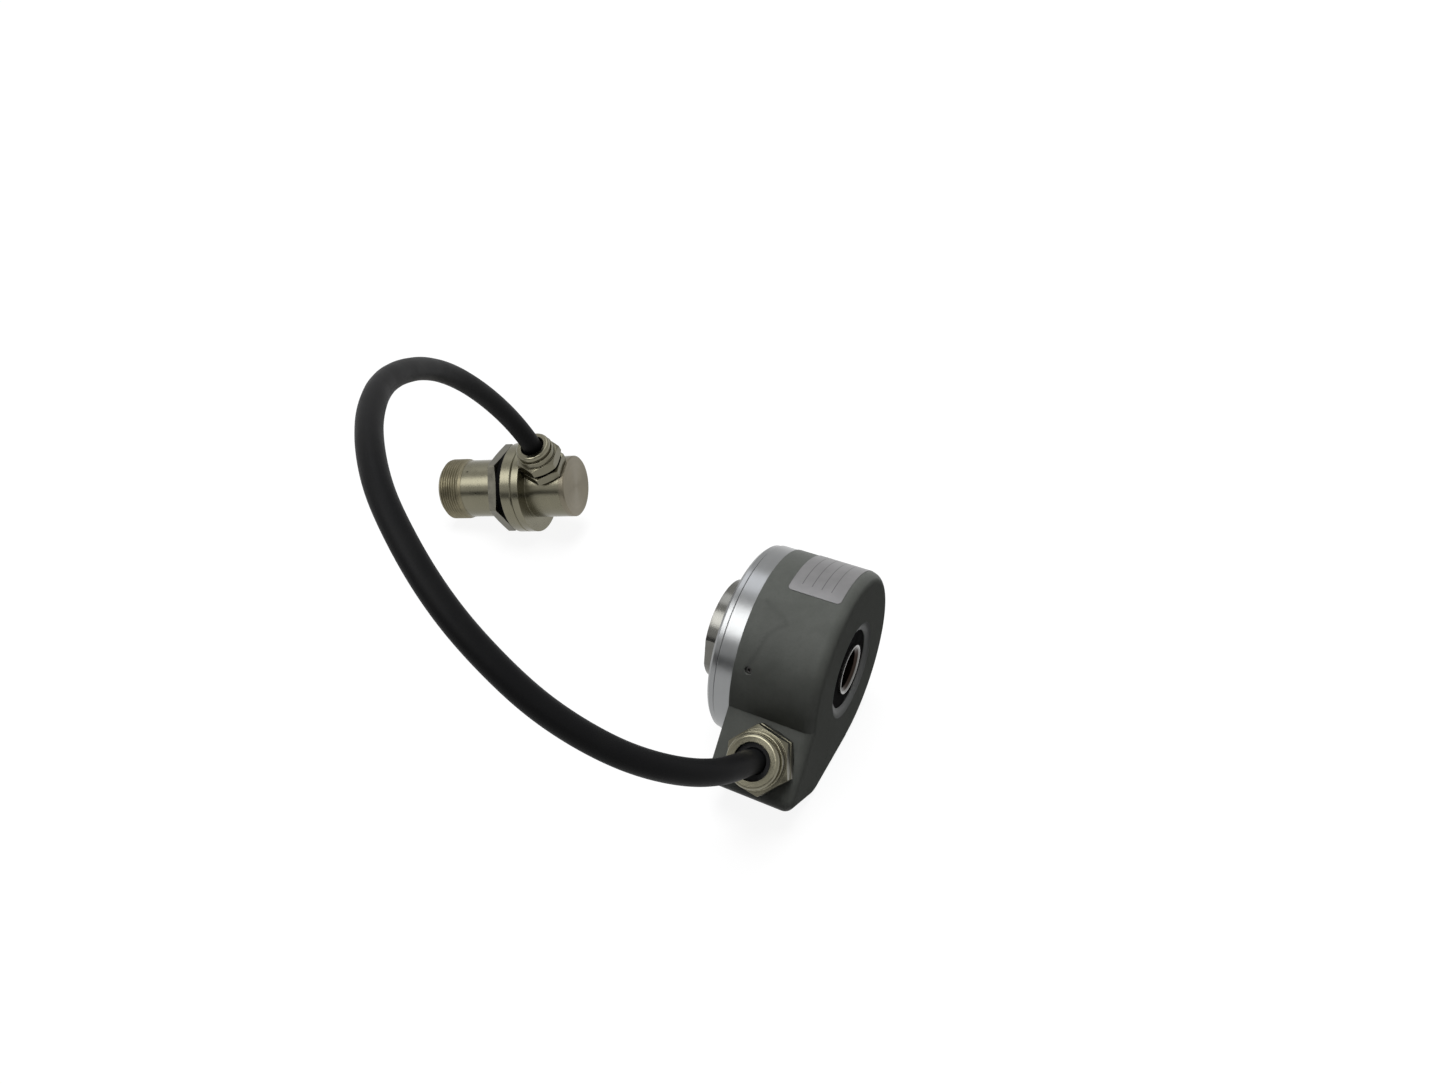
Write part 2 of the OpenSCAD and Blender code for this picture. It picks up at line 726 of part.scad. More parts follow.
// Section of a straight side of the lug near its rounded rear edge, sunk a little below its neighbours
module rounded_side() {
  translate([housing_len - 2 * rear_fillet - side_sink, side_sink])
    intersection() {
      translate([0, -rear_fillet])
        square([2 * rear_fillet, rear_fillet + side_lap]);
      union() {
        translate([0, -rear_fillet])
          square([rear_fillet, rear_fillet + side_lap]);
        square([2 * rear_fillet, side_lap]);
        translate([rear_fillet, 0])
          circle(r = rear_fillet);
      }
    }
}

// A straight side of the lug between two points that lie the fillet's radius inside its outline
module lug_side(a, b) {
  run = b - a;
  translate([0, a[0], a[1]])
    rotate([atan2(run[1], run[0]), 0, 0])
      translate([0, norm(run), 0])
        rotate([90, 0, 0])
          linear_extrude(norm(run))
            rounded_side();
}

// A round post with a filleted rear end
module filleted_post(centre, r) {
  translate([0, centre[0], centre[1]])
    along_x()
      rotate_extrude()
        intersection() {
          square([r, housing_len]);
          union() {
            square([r, housing_len - rear_fillet]);
            square([r - rear_fillet, housing_len]);
            translate([r - rear_fillet, housing_len - rear_fillet])
              circle(r = rear_fillet);
          }
        }
}

module housing_shape() {
  along_x()
    linear_extrude(housing_len - rear_fillet)
      lug_outline(0);
  along_x()
    linear_extrude(housing_len)
      lug_outline(rear_fillet);
  filleted_post([0, 0], housing_r);
  filleted_post(lug_corner, lug_corner_r);
  filleted_post(foot_corner, foot_corner_r);
  lug_side(
    face_top - face_back * face_down - rear_fillet * face_out,
    lug_corner + (lug_corner_r - rear_fillet) * face_out
  );
  lug_side(
    lug_corner + (lug_corner_r - rear_fillet) * under_out,
    foot_corner + (foot_corner_r - rear_fillet) * under_out
  );
  lug_side(foot_corner - [0, foot_corner_r - rear_fillet], [0, -(foot_z - rear_fillet)]);
}

module housing() {
  color([0.36, 0.37, 0.37])
    difference() {
      housing_shape();
      along_x()
        rotate_extrude()
          polygon([
            [0, -cut],
            [housing_bore_r, -cut],
            [housing_bore_r, wall_x],
            [rear_lip_r, wall_x],
            [rear_lip_r, rear_seal_x],
            [rear_seal_r, rear_seal_x],
            [rear_seal_r, housing_len - rear_chamfer_t],
            [rear_seal_r + rear_chamfer_w, housing_len],
            [rear_seal_r + rear_chamfer_w, housing_len + cut],
            [0, housing_len + cut]
          ]);
      around(set_screw_count, set_screw_angle)
        radial(0, set_screw_x, housing_bore_r - cut)
          cylinder(h = housing_wall + 2 * cut, r = set_screw_r + seat_clear);
      at_gland(-gland_hole_len)
        cylinder(h = gland_hole_len + cut, r = gland_hole_r);
      translate([gland_x - pocket_w / 2, pocket_at[0] - pocket_lap, pocket_at[1] - pocket_h / 2])
        cube([pocket_w, pocket_lap + pocket_len, pocket_h]);
    }
}

module housing_o_ring() {
  color([0.08, 0.08, 0.08])
    along_x(o_ring_x)
      rotate_extrude()
        translate([housing_bore_r - o_ring_d / 2, 0])
          circle(r = o_ring_d / 2, $fn = 32);
}

// A headless screw along Z with a hexagonal socket in its upper end
module grub_screw(r, len) {
  difference() {
    cylinder(h = len, r = r);
    translate([0, 0, len / 2])
      cylinder(h = len, r = r * hex_socket, $fn = 6);
  }
}

module housing_set_screws() {
  color([0.2, 0.2, 0.21])
    around(set_screw_count, set_screw_angle)
      radial(0, set_screw_x, set_groove_r + fit)
        grub_screw(set_screw_r, housing_r - set_screw_sunk - set_groove_r - fit);
}

module label() {
  color([0.75, 0.75, 0.74])
    along_x(label_x)
      rotate([0, 0, label_far])
        rotate_extrude(angle = label_near - label_far)
          translate([housing_r, 0])
            square([label_t, label_w]);
}

module hollow_shaft() {
  color([0.78, 0.78, 0.8])
    difference() {
      along_x()
        rotate_extrude()
          polygon([
            [bore_r, clamp_x + bore_chamfer],
            [bore_r + bore_chamfer, clamp_x],
            [shaft_r, clamp_x],
            [shaft_r, spacer_x],
            [shaft_r + collar_h, spacer_x],
            [shaft_r + collar_h, bearing_2_x],
            [shaft_r, bearing_2_x],
            [shaft_r, shaft_end_x],
            [bore_r + bore_chamfer, shaft_end_x],
            [bore_r, shaft_end_x - bore_chamfer]
          ]);
      around(shaft_slots, clamp_angle)
        translate([clamp_x - cut, bore_r / 2, -shaft_slot_w / 2])
          cube([clamp_w + cut, shaft_r, shaft_slot_w]);
    }
}

// The clamp screw's frame: Z runs along the screw from its head's seat
module at_clamp_screw() {
  rotate([clamp_angle, 0, 0])
    translate([clamp_x + clamp_w / 2, clamp_screw_pitch, clamp_seat])
      children();
}

module clamping_ring() {
  color([0.66, 0.66, 0.64])
    difference() {
      along_x(clamp_x)
        ring(clamp_r, shaft_r + fit, clamp_w);
      rotate([clamp_angle, 0, 0])
        translate([clamp_x - cut, shaft_r / 2, -clamp_slit / 2])
          cube([clamp_w + 2 * cut, clamp_r, clamp_slit]);
      rotate([clamp_angle + clamp_flat_turn, 0, 0])
        translate([clamp_x - cut, clamp_r - clamp_flat_depth, -clamp_r])
          cube([clamp_w + 2 * cut, clamp_r, 2 * clamp_r]);
      at_clamp_screw()
        cylinder(h = clamp_r, r = clamp_head_r + seat_clear);
      at_clamp_screw()
        translate([0, 0, -clamp_screw_len])
          cylinder(h = clamp_screw_len + cut, r = clamp_screw_r + fit);
    }
}

module clamp_screw() {
  color([0.25, 0.25, 0.26])
    at_clamp_screw()
      difference() {
        union() {
          translate([0, 0, -clamp_screw_len])
            cylinder(h = clamp_screw_len + fit, r = clamp_screw_r);
          cylinder(h = clamp_head_h, r = clamp_head_r);
        }
        translate([0, 0, clamp_head_h / 2])
          cylinder(h = clamp_head_h, r = clamp_head_r * hex_socket, $fn = 6);
      }
}

module front_seal() {
  color([0.1, 0.1, 0.1])
    along_x(front_x)
      ring(front_seal_r, shaft_r + seal_clear, front_seal_t);
}

module rear_seal() {
  color([0.1, 0.1, 0.1])
    along_x(rear_seal_x)
      ring(rear_seal_r, shaft_r + seal_clear, rear_seal_t);
}

// Half section of a race, with the balls' groove taken out
module race_section(r_in, r_out) {
  difference() {
    translate([r_in, 0])
      square([r_out - r_in, bearing_w]);
    translate([ball_pitch_r, bearing_w / 2])
      circle(r = ball_d / 2 + ball_clear, $fn = 48);
  }
}

module outer_race(x) {
  color([0.7, 0.71, 0.72])
    along_x(x)
      rotate_extrude()
        race_section(outer_race_r, bearing_r);
}

module inner_race(x) {
  color([0.7, 0.71, 0.72])
    along_x(x)
      rotate_extrude()
        race_section(shaft_r + fit, inner_race_r);
}

module balls(x) {
  color([0.8, 0.8, 0.82])
    around(ball_count)
      translate([x + bearing_w / 2, ball_pitch_r, 0])
        sphere(r = ball_d / 2, $fn = 32);
}

module cage(x) {
  color([0.72, 0.6, 0.3])
    difference() {
      along_x(x + bearing_w / 2 - cage_w / 2)
        ring(ball_pitch_r + cage_t / 2, ball_pitch_r - cage_t / 2, cage_w);
      around(ball_count)
        radial(0, x + bearing_w / 2, ball_pitch_r - cage_t)
          cylinder(h = 2 * cage_t, r = ball_d / 2 + ball_clear);
    }
}

module front_outer_race() { outer_race(bearing_1_x); }
module front_inner_race() { inner_race(bearing_1_x); }
module front_balls() { balls(bearing_1_x); }
module front_cage() { cage(bearing_1_x); }
module rear_outer_race() { outer_race(bearing_2_x); }
module rear_inner_race() { inner_race(bearing_2_x); }
module rear_balls() { balls(bearing_2_x); }
module rear_cage() { cage(bearing_2_x); }

module race_spacer() {
  color([0.62, 0.63, 0.65])
    along_x(spacer_x)
      ring(bearing_r, outer_race_r, race_spacer_len);
}

module retaining_ring() {
  groove_r = bearing_r + retainer_bite;
  ear_pitch_r = groove_r - retainer_ear_r - seat_clear;
  opening = 50;
  color([0.3, 0.3, 0.31])
    along_x(retainer_x)
      difference() {
        union() {
          rotate([0, 0, opening / 2])
            rotate_extrude(angle = 360 - opening)
              translate([groove_r - retainer_w, 0])
                square([retainer_w, retainer_t]);
          for (a = [opening / 2, -opening / 2])
            rotate([0, 0, a])
              translate([ear_pitch_r, 0, 0])
                cylinder(h = retainer_t, r = retainer_ear_r);
        }
        for (a = [opening / 2, -opening / 2])
          rotate([0, 0, a])
            translate([ear_pitch_r, 0, -cut])
              cylinder(h = retainer_t + 2 * cut, r = retainer_ear_r / 2);
      }
}

module disc_hub() {
  color([0.68, 0.69, 0.7])
    difference() {
      along_x()
        rotate_extrude()
          polygon([
            [shaft_r, retainer_x],
            [inner_race_r - ball_clear, retainer_x],
            [inner_race_r - ball_clear, disc_hub_x],
            [disc_hub_r, disc_hub_x],
            [disc_hub_r, disc_x],
            [shaft_r, disc_x]
          ]);
      around(disc_screw_count, disc_screw_angle)
        radial(0, disc_hub_x + disc_hub_t / 2, shaft_r - cut)
          cylinder(h = disc_hub_r, r = disc_screw_r + fit);
    }
}

module disc_hub_screws() {
  color([0.25, 0.25, 0.26])
    around(disc_screw_count, disc_screw_angle)
      radial(0, disc_hub_x + disc_hub_t / 2, shaft_r)
        grub_screw(disc_screw_r, disc_hub_r - shaft_r - disc_screw_r);
}

module code_disc() {
  color([0.6, 0.7, 0.72, 0.6])
    along_x(disc_x)
      ring(disc_r, shaft_r + seat_clear, disc_t);
}

// The top of the flange pocket, where the code disc is read
module at_track(x) {
  translate([x, 0, track_r])
    children();
}

module led_holder() {
  color([0.12, 0.12, 0.13])
    difference() {
      at_track(web_x)
        translate([0, -led_size / 2, -led_size / 2])
          cube([disc_x - disc_air_gap - web_x, led_size, led_size]);
      at_track(web_x + led_wall)
        along_x()
          cylinder(h = disc_x - web_x, r = led_size / 2 - led_wall);
    }
}

module light_source() {
  led_r = led_size / 2 - led_wall - lens_gap;
  stem = disc_x - 2 * disc_air_gap - web_x - led_wall - led_r;
  color([0.75, 0.2, 0.2, 0.8])
    at_track(web_x + led_wall)
      along_x() {
        cylinder(h = stem, r = led_r);
        translate([0, 0, stem])
          sphere(r = led_r);
      }
}

module scanning_mask() {
  color([0.5, 0.55, 0.6])
    at_track(mask_x)
      translate([0, -sensor_w / 2, -led_size / 2])
        cube([mask_t, sensor_w, led_size]);
}

module sensor_chip() {
  color([0.1, 0.1, 0.11])
    at_track(sensor_x)
      translate([0, -sensor_w / 2, -led_size / 2])
        cube([sensor_t, sensor_w, led_size]);
}

module circuit_board() {
  color([0.1, 0.32, 0.16])
    difference() {
      along_x(board_x)
        ring(board_r, board_hole_r, board_t);
      around(board_spacer_count, board_spacer_angle)
        translate([board_x - cut, spigot_mid_r, 0])
          along_x()
            cylinder(h = board_t + 2 * cut, r = board_screw_r + seat_clear);
    }
}

module board_spacers() {
  stud = spigot_len - web_t / 2;
  thread = web_t / 2;
  color([0.75, 0.63, 0.32])
    around(board_spacer_count, board_spacer_angle)
      translate([spigot_len, spigot_mid_r, 0])
        along_x()
          difference() {
            union() {
              hexagon(spacer_af, board_x - spigot_len);
              translate([0, 0, -stud])
                cylinder(h = stud + fit, r = board_screw_r);
            }
            translate([0, 0, board_x - spigot_len - thread])
              cylinder(h = thread + cut, r = board_screw_r + fit);
          }
}

module board_screws() {
  shank = board_t + web_t / 4;
  color([0.7, 0.7, 0.7])
    around(board_spacer_count, board_spacer_angle)
      translate([board_x + board_t, spigot_mid_r, 0])
        along_x()
          difference() {
            union() {
              translate([0, 0, -shank])
                cylinder(h = shank + fit, r = board_screw_r);
              cylinder(h = board_head_h, r = board_head_r);
            }
            translate([0, 0, board_head_h / 2])
              cylinder(h = board_head_h, r = board_screw_r, $fn = 6);
          }
}

module board_plug() {
  color([0.85, 0.83, 0.76])
    rotate([plug_angle, 0, 0])
      translate([board_x - plug_h, plug_r - plug_d / 2, -plug_w / 2])
        cube([plug_h, plug_d, plug_w]);
}

module inner_leads() {
  color([0.55, 0.2, 0.15])
    swept_tube(leads_path, leads_r, lead_sides, [1, 0, 0]);
}

// Lower half of a cable gland: lower thread, hexagon and hollow neck
module gland_lower(af, seat, hex_t, thread_r, thread_len, neck_r, neck_top, cup_r) {
  difference() {
    union() {
      translate([0, 0, -thread_len])
        cylinder(h = thread_len + seat + eps, r = thread_r);
      translate([0, 0, seat])
        turned_hexagon(af, hex_t, crown_edge / 2);
      translate([0, 0, seat])
        cylinder(h = neck_top - seat, r = neck_r);
    }
    translate([0, 0, -thread_len - cut])
      cylinder(h = thread_len + neck_top + 2 * cut, r = cable_r + 3 * cable_clear);
    translate([0, 0, seat + hex_t])
      cylinder(h = neck_top, r = cup_r);
  }
}

// Upper half of a cable gland: hexagon and round crown with the cable's mouth
module gland_upper(af, hex_t, crown_h, neck_r, ring_r, mouth_r) {
  top = hex_t + crown_h;
  shoulder_r = (af / 2 + ring_r) / 2;
  lip = crown_h / 2 - crown_edge;
  difference() {
    union() {
      turned_hexagon(af, hex_t, crown_edge);
      rotate_extrude()
        union() {
          polygon([
            [0, 0],
            [shoulder_r, 0],
            [shoulder_r, hex_t + crown_h / 2],
            [ring_r - crown_edge / 2, hex_t + crown_h / 2],
            [ring_r - crown_edge / 2, hex_t + crown_h / 2 + crown_edge / 2],
            [ring_r, hex_t + crown_h / 2 + crown_edge],
            [ring_r, top - crown_edge],
            [ring_r - crown_edge, top - crown_edge],
            [ring_r - crown_edge, top],
            [0, top]
          ]);
          translate([ring_r - crown_edge, top - crown_edge])
            circle(r = crown_edge);
        }
    }
    translate([0, 0, -cut])
      cylinder(h = top - lip + cut, r = neck_r + seat_clear);
    translate([0, 0, -cut])
      cylinder(h = top + 2 * cut, r = mouth_r);
  }
}

// Depth of a gland nut's inside below its top, and the top of the neck inside it
gland_lip = gland_crown_h / 2 - crown_edge;
gland_neck_top = gland_top_h - gland_lip - gland_claw_t;
gland_cup_r = gland_neck_r - thread_wall;
gland_seal_h = gland_neck_top - gland_washer_t - gland_hex_t;
elbow_lip = elbow_crown_h / 2 - crown_edge;
elbow_neck_top = elbow_top_h - elbow_lip - fit;
elbow_cup_r = elbow_neck_r - thread_wall;

module gland_washer() {
  color([0.12, 0.12, 0.12])
    at_gland()
      ring(gland_af / 2, gland_thread_r, gland_washer_t);
}

module gland_body() {
  color([0.7, 0.69, 0.6])
    at_gland()
      rotate([0, 0, gland_turn])
        gland_lower(gland_af, gland_washer_t, gland_hex_t, gland_thread_r, gland_thread_len,
          gland_neck_r, gland_neck_top, gland_cup_r);
}

module gland_seal() {
  color([0.09, 0.09, 0.09])
    at_gland(gland_washer_t + gland_hex_t)
      ring(gland_cup_r - fit, cable_r + cable_clear, gland_seal_h);
}

module gland_claw() {
  color([0.1, 0.1, 0.1])
    at_gland(gland_neck_top)
      ring(gland_neck_r - seat_clear, cable_r + 2 * cable_clear, gland_claw_t);
}

module gland_nut() {
  color([0.76, 0.75, 0.67])
    at_gland(gland_nut_h)
      rotate([0, 0, gland_turn])
        gland_upper(gland_af, gland_nut_hex_t, gland_crown_h, gland_neck_r, gland_ring_r, gland_mouth_r);
}

module cable() {
  color([0.11, 0.11, 0.12])
    swept_tube(cable_path, cable_r, cable_sides, arch_normal);
}

module connector_elbow() {
  color([0.72, 0.7, 0.62])
    difference() {
      union() {
        at_connector(end_cap_t)
          cylinder(h = elbow_len - end_cap_t, r = elbow_r);
        at_connector(ring_at)
          cylinder(h = elbow_ring_t - ring_edge, r = ring_r);
        at_connector(shell_at - ring_edge)
          cylinder(h = ring_edge, r1 = ring_r, r2 = ring_r - ring_edge);
      }
      at_connector(end_cap_t - cut)
        cylinder(h = elbow_len - end_cap_t + cut, r = elbow_bore_r);
      at_connector(ring_at - cut)
        cylinder(h = elbow_ring_t + 2 * cut, r = elbow_bore_r - elbow_wall);
      at_elbow_gland(-elbow_seat / 2)
        cylinder(h = elbow_seat, r = elbow_thread_r + seat_clear);
      gland_spot_face();
    }
}

// The round flat on which the connector's gland sits
module gland_spot_face() {
  at_elbow_gland()
    cylinder(h = elbow_seat, r = elbow_gland_af / sqrt(3) + seat_clear);
}

module connector_end_cap() {
  color([0.68, 0.65, 0.57])
    difference() {
      at_connector()
        rotate_extrude()
          polygon([
            [0, 0],
            [elbow_r - end_cap_chamfer, 0],
            [elbow_r, end_cap_chamfer],
            [elbow_r, end_cap_t],
            [elbow_bore_r - fit, end_cap_t],
            [elbow_bore_r - fit, end_cap_t + elbow_wall / 2],
            [0, end_cap_t + elbow_wall / 2]
          ]);
      gland_spot_face();
    }
}

module connector_shell() {
  color([0.78, 0.77, 0.68])
    at_connector(shell_at)
      rotate_extrude()
        polygon([
          [elbow_bore_r - elbow_wall, 0],
          [ring_r - ring_edge, 0],
          [ring_r, ring_edge],
          [ring_r, shell_ring_t],
          [barrel_r, shell_ring_t],
          [barrel_r, shell_ring_t + barrel_len],
          [insert_r, shell_ring_t + barrel_len],
          [insert_r, insert_face_at - insert_t - shell_at],
          [elbow_bore_r - elbow_wall, insert_face_at - insert_t - shell_at]
        ]);
}

module connector_nose() {
  color([0.5, 0.47, 0.36])
    at_connector(nose_at)
      rotate_extrude()
        polygon([
          [socket_r, 0],
          [nose_r, 0],
          [nose_r, nose_len - nose_edge],
          [tip_r, nose_len],
          [socket_r, nose_len]
        ]);
}

module connector_gasket() {
  color([0.08, 0.08, 0.08])
    at_connector(barrel_at)
      ring(gasket_r, barrel_r + seat_clear, gasket_t);
}

module connector_lock_nut() {
  color([0.66, 0.67, 0.66])
    at_connector(lock_nut_at)
      difference() {
        intersection() {
          rotate([0, 0, lock_nut_turn])
            turned_hexagon(lock_nut_af, lock_nut_t, crown_edge / 2);
          translate([0, 0, -cut])
            cylinder(h = lock_nut_t + 2 * cut, r = lock_nut_r);
        }
        translate([0, 0, -cut])
          cylinder(h = lock_nut_t + 2 * cut, r = barrel_r + seat_clear);
      }
}

module connector_insert() {
  color([0.12, 0.12, 0.12])
    at_connector(insert_face_at - insert_t)
      difference() {
        cylinder(h = insert_t, r = insert_r - fit);
        pin_places()
          translate([0, 0, insert_t / 2])
            cylinder(h = insert_t, r = pin_r + fit);
      }
}

// The two circles on which the contact pins stand
module pin_places() {
  for (i = [0 : outer_pins - 1])
    rotate([0, 0, i * 360 / outer_pins])
      translate([outer_pin_pitch_r, 0, 0])
        children();
  for (i = [0 : inner_pins - 1])
    rotate([0, 0, i * 360 / inner_pins])
      translate([inner_pin_pitch_r, 0, 0])
        children();
}

module connector_pins() {
  color([0.85, 0.68, 0.3])
    at_connector(insert_face_at - insert_t / 2)
      pin_places() {
        cylinder(h = insert_t / 2 + pin_h - pin_r, r = pin_r, $fn = 24);
        translate([0, 0, insert_t / 2 + pin_h - pin_r])
          sphere(r = pin_r, $fn = 24);
      }
}

module elbow_gland_body() {
  color([0.7, 0.69, 0.6])
    at_elbow_gland()
      gland_lower(elbow_gland_af, 0, elbow_hex_t, elbow_thread_r, elbow_thread_len,
        elbow_neck_r, elbow_neck_top, elbow_cup_r);
}

module elbow_gland_seal() {
  color([0.09, 0.09, 0.09])
    at_elbow_gland(elbow_hex_t)
      ring(elbow_cup_r - fit, cable_r + cable_clear, elbow_neck_top - elbow_hex_t);
}

module elbow_gland_nut() {
  color([0.76, 0.75, 0.67])
    at_elbow_gland(elbow_nut_h)
      gland_upper(elbow_gland_af, elbow_nut_hex_t, elbow_crown_h, elbow_neck_r, elbow_ring_front_r,
        elbow_mouth_r);
}

flange();
housing();
housing_o_ring();
housing_set_screws();
label();
hollow_shaft();
clamping_ring();
clamp_screw();
front_seal();
front_outer_race();
front_inner_race();
front_balls();
front_cage();
race_spacer();
rear_outer_race();
rear_inner_race();
rear_balls();
rear_cage();
retaining_ring();
disc_hub();
disc_hub_screws();
code_disc();
led_holder();
light_source();
scanning_mask();
sensor_chip();
circuit_board();
board_spacers();
board_screws();
board_plug();
inner_leads();
rear_seal();
gland_washer();
gland_body();
gland_seal();
gland_claw();
gland_nut();
cable();
connector_elbow();
connector_end_cap();
connector_shell();
connector_nose();
connector_gasket();
connector_lock_nut();
connector_insert();
connector_pins();
elbow_gland_body();
elbow_gland_seal();
elbow_gland_nut();
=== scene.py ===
"""Looks of a hollow shaft rotary encoder with its cable and angled connector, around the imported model."""

import json
import math

import bpy
from bpy.props import FloatProperty, FloatVectorProperty, IntProperty, PointerProperty
from mathutils import Matrix, Quaternion, Vector


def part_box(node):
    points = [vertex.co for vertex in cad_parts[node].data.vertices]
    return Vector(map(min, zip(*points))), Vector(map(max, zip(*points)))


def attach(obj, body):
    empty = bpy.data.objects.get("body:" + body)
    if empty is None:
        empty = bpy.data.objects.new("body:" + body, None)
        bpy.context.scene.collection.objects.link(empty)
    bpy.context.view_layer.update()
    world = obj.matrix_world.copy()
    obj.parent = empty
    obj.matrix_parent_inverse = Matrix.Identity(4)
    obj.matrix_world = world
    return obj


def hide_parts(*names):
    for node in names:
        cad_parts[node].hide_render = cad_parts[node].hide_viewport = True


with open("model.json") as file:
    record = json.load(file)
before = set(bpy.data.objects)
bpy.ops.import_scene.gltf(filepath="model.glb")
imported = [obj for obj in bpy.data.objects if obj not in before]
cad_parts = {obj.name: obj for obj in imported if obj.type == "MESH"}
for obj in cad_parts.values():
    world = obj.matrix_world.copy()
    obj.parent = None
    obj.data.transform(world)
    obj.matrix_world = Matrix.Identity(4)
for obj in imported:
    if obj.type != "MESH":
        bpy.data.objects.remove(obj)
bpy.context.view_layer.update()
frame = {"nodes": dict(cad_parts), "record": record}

bl_info = {
    "name": "Rotary encoder looks",
    "version": (1, 0, 0),
    "blender": (4, 5, 0),
    "location": "View3D > Sidebar > Encoder",
    "description": "Cable, label, thread, finishes and stage of a hollow shaft rotary encoder",
    "category": "Object",
}

MM = 0.001
MOUNTS = {mount["name"]: mount for mount in frame["record"]["mounts"]}


def middle(name):
    """Middle of a CAD node's box, which for a plain ring is a point on its axis."""
    low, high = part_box(name)
    return (low + high) / 2


# Axes that the turned pieces share, each as a point and a direction
SHAFT = (Vector((0, 0, 0)), Vector((1, 0, 0)))
GLAND_SLOPE = math.radians(50)
GLAND = (middle("gland_washer"), Vector((0, -math.sin(GLAND_SLOPE), math.cos(GLAND_SLOPE))))
CONNECTOR = (
    Vector(MOUNTS["connector_thread"]["pos_m"]),
    Vector(MOUNTS["connector_thread"]["axis"]).normalized(),
)
ELBOW_SEAL = middle("elbow_gland_seal")
ELBOW_FOOT = CONNECTOR[0] + CONNECTOR[1] * (ELBOW_SEAL - CONNECTOR[0]).dot(CONNECTOR[1])
ELBOW_GLAND = (ELBOW_SEAL, (ELBOW_SEAL - ELBOW_FOOT).normalized())

# Places along the two glands, measured from the face that each gland sits on
WASHER_HALF = 0.3 * MM
GLAND_FACE = GLAND[0] - WASHER_HALF * GLAND[1]
GLAND_MOUTH = 11.2 * MM
ELBOW_SEAT = 10.9 * MM
ELBOW_FACE = ELBOW_FOOT + ELBOW_SEAT * ELBOW_GLAND[1]
ELBOW_MOUTH = 13 * MM

# Free route of the cable between its two straight ends, in millimetres
CABLE_ROUTE = [
    (13.5, -56, 7), (10, -64.5, 12.5), (4, -73, 20), (-3.5, -79.5, 27.5), (-12, -84, 35.5),
    (-21, -86.5, 43), (-30.5, -87, 51), (-40.5, -86, 58.5), (-50.5, -83, 65.5), (-60, -78.5, 71.5),
    (-70, -72.5, 76.5), (-79, -64.5, 79.5), (-87.5, -55.5, 80.5), (-95, -46, 80), (-102, -35.5, 78.5),
    (-107.5, -25, 75.5), (-112.5, -14.5, 71), (-116.5, -4, 66), (-119.5, 6.5, 59.5), (-121, 16, 52),
    (-121.5, 25, 43), (-120.5, 32.5, 33.5), (-119, 38.5, 24),
]

# Course of a faint handling mark on the housing: distance from the flange in millimetres,
# and angle round the shaft from +Y towards +Z in degrees
HANDLING_MARK = [
    (3.1, 114.3), (6.2, 117.9), (9.4, 120.4), (11.1, 123.7), (8.9, 126.9), (6.9, 132.5),
    (5.7, 141.6), (4.8, 147.6), (3.6, 152.4),
]

# Index dot on the connector's barrel: distance behind the thread's middle, turn from the top,
# and radius in millimetres
INDEX_BACK = 6.3 * MM
INDEX_TURN = math.radians(-22)
INDEX_RADIUS = 0.5
BARREL_RADIUS = 10.9 * MM

# Painted shade darkens the hollow shaft's bore and its bevel; it ends between these radii
# in millimetres and has the colour below
BORE_SHADE_END = (6.7, 6.8)
BORE_SHADE_COLOUR = (0.03, 0.022, 0.018)

# Painted shade on each gland's hexagons: the heights above the gland's face, in millimetres, between which
# it fades, and how dark it is
GLAND_HEX_SHADE = (8.65, 8.95, 0.4)
ELBOW_HEX_SHADE = (10.3, 10.6, 0.2)

# Where the housing's finish changes, each over a short stretch in millimetres: the bare rim's edge
# by its radius, and the starts of the rim and of the rough rear face along the shaft
RIM_END = (14.5, 14.9)
RIM_START = (24.3, 24.5)
REAR_FACE = (24.9, 25.4)

# The code disc's track: its two edges, each soft over a short stretch of radius in millimetres,
# and the dark lines in it
TRACK_START = (16.7, 16.8)
TRACK_END = (20.6, 20.7)
LINES_PER_DEGREE = 0.5

# Share of the circuit board's track pattern that one degree round the shaft covers
BOARD_PATTERN_PER_DEGREE = 0.25

# Print on the label: distance of the first rule from the front edge in millimetres,
# and what stays bare at either end in degrees
FIRST_RULE = 3.2
PRINT_MARGIN = 6

# Noise stays between these values nearly everywhere
NOISE_LOW = 0.3
NOISE_HIGH = 0.7

# Deepest tool marks and radius of the worn edges of small pieces, in millimetres
TOOL_MARK = 0.006
SMALL_EDGE = 0.15

# A mesh's corners stay sharp from this angle on
SHARP = math.radians(35)


def size(name, description, millimetres):
    """A length that a user may change."""
    return FloatProperty(name=name, description=description, default=millimetres * MM, unit="LENGTH")


def share(name, description, default):
    """A plain number between nothing and one."""
    return FloatProperty(
        name=name, description=description, default=default, min=0, max=1, subtype="FACTOR"
    )


def colour(name, description, default):
    """A colour that a user may change, in linear values."""
    return FloatVectorProperty(
        name=name, description=description, default=default, size=3, min=0, max=1, subtype="COLOR"
    )


def whole_number(name, description, default, least):
    """A number of equal things."""
    return IntProperty(name=name, description=description, default=default, min=least)


def lamp_strength(name, description, default):
    """Strength of a lamp."""
    return FloatProperty(name=name, description=description, default=default, min=0)


def lamp_spread(name, description, degrees):
    """Angle over which a lamp spreads."""
    return FloatProperty(
        name=name, description=description, default=math.radians(degrees), subtype="ANGLE"
    )


def lamp_direction(name, description, default):
    """Direction in which a lamp hangs, seen from the object."""
    return FloatVectorProperty(name=name, description=description, default=default, subtype="DIRECTION")


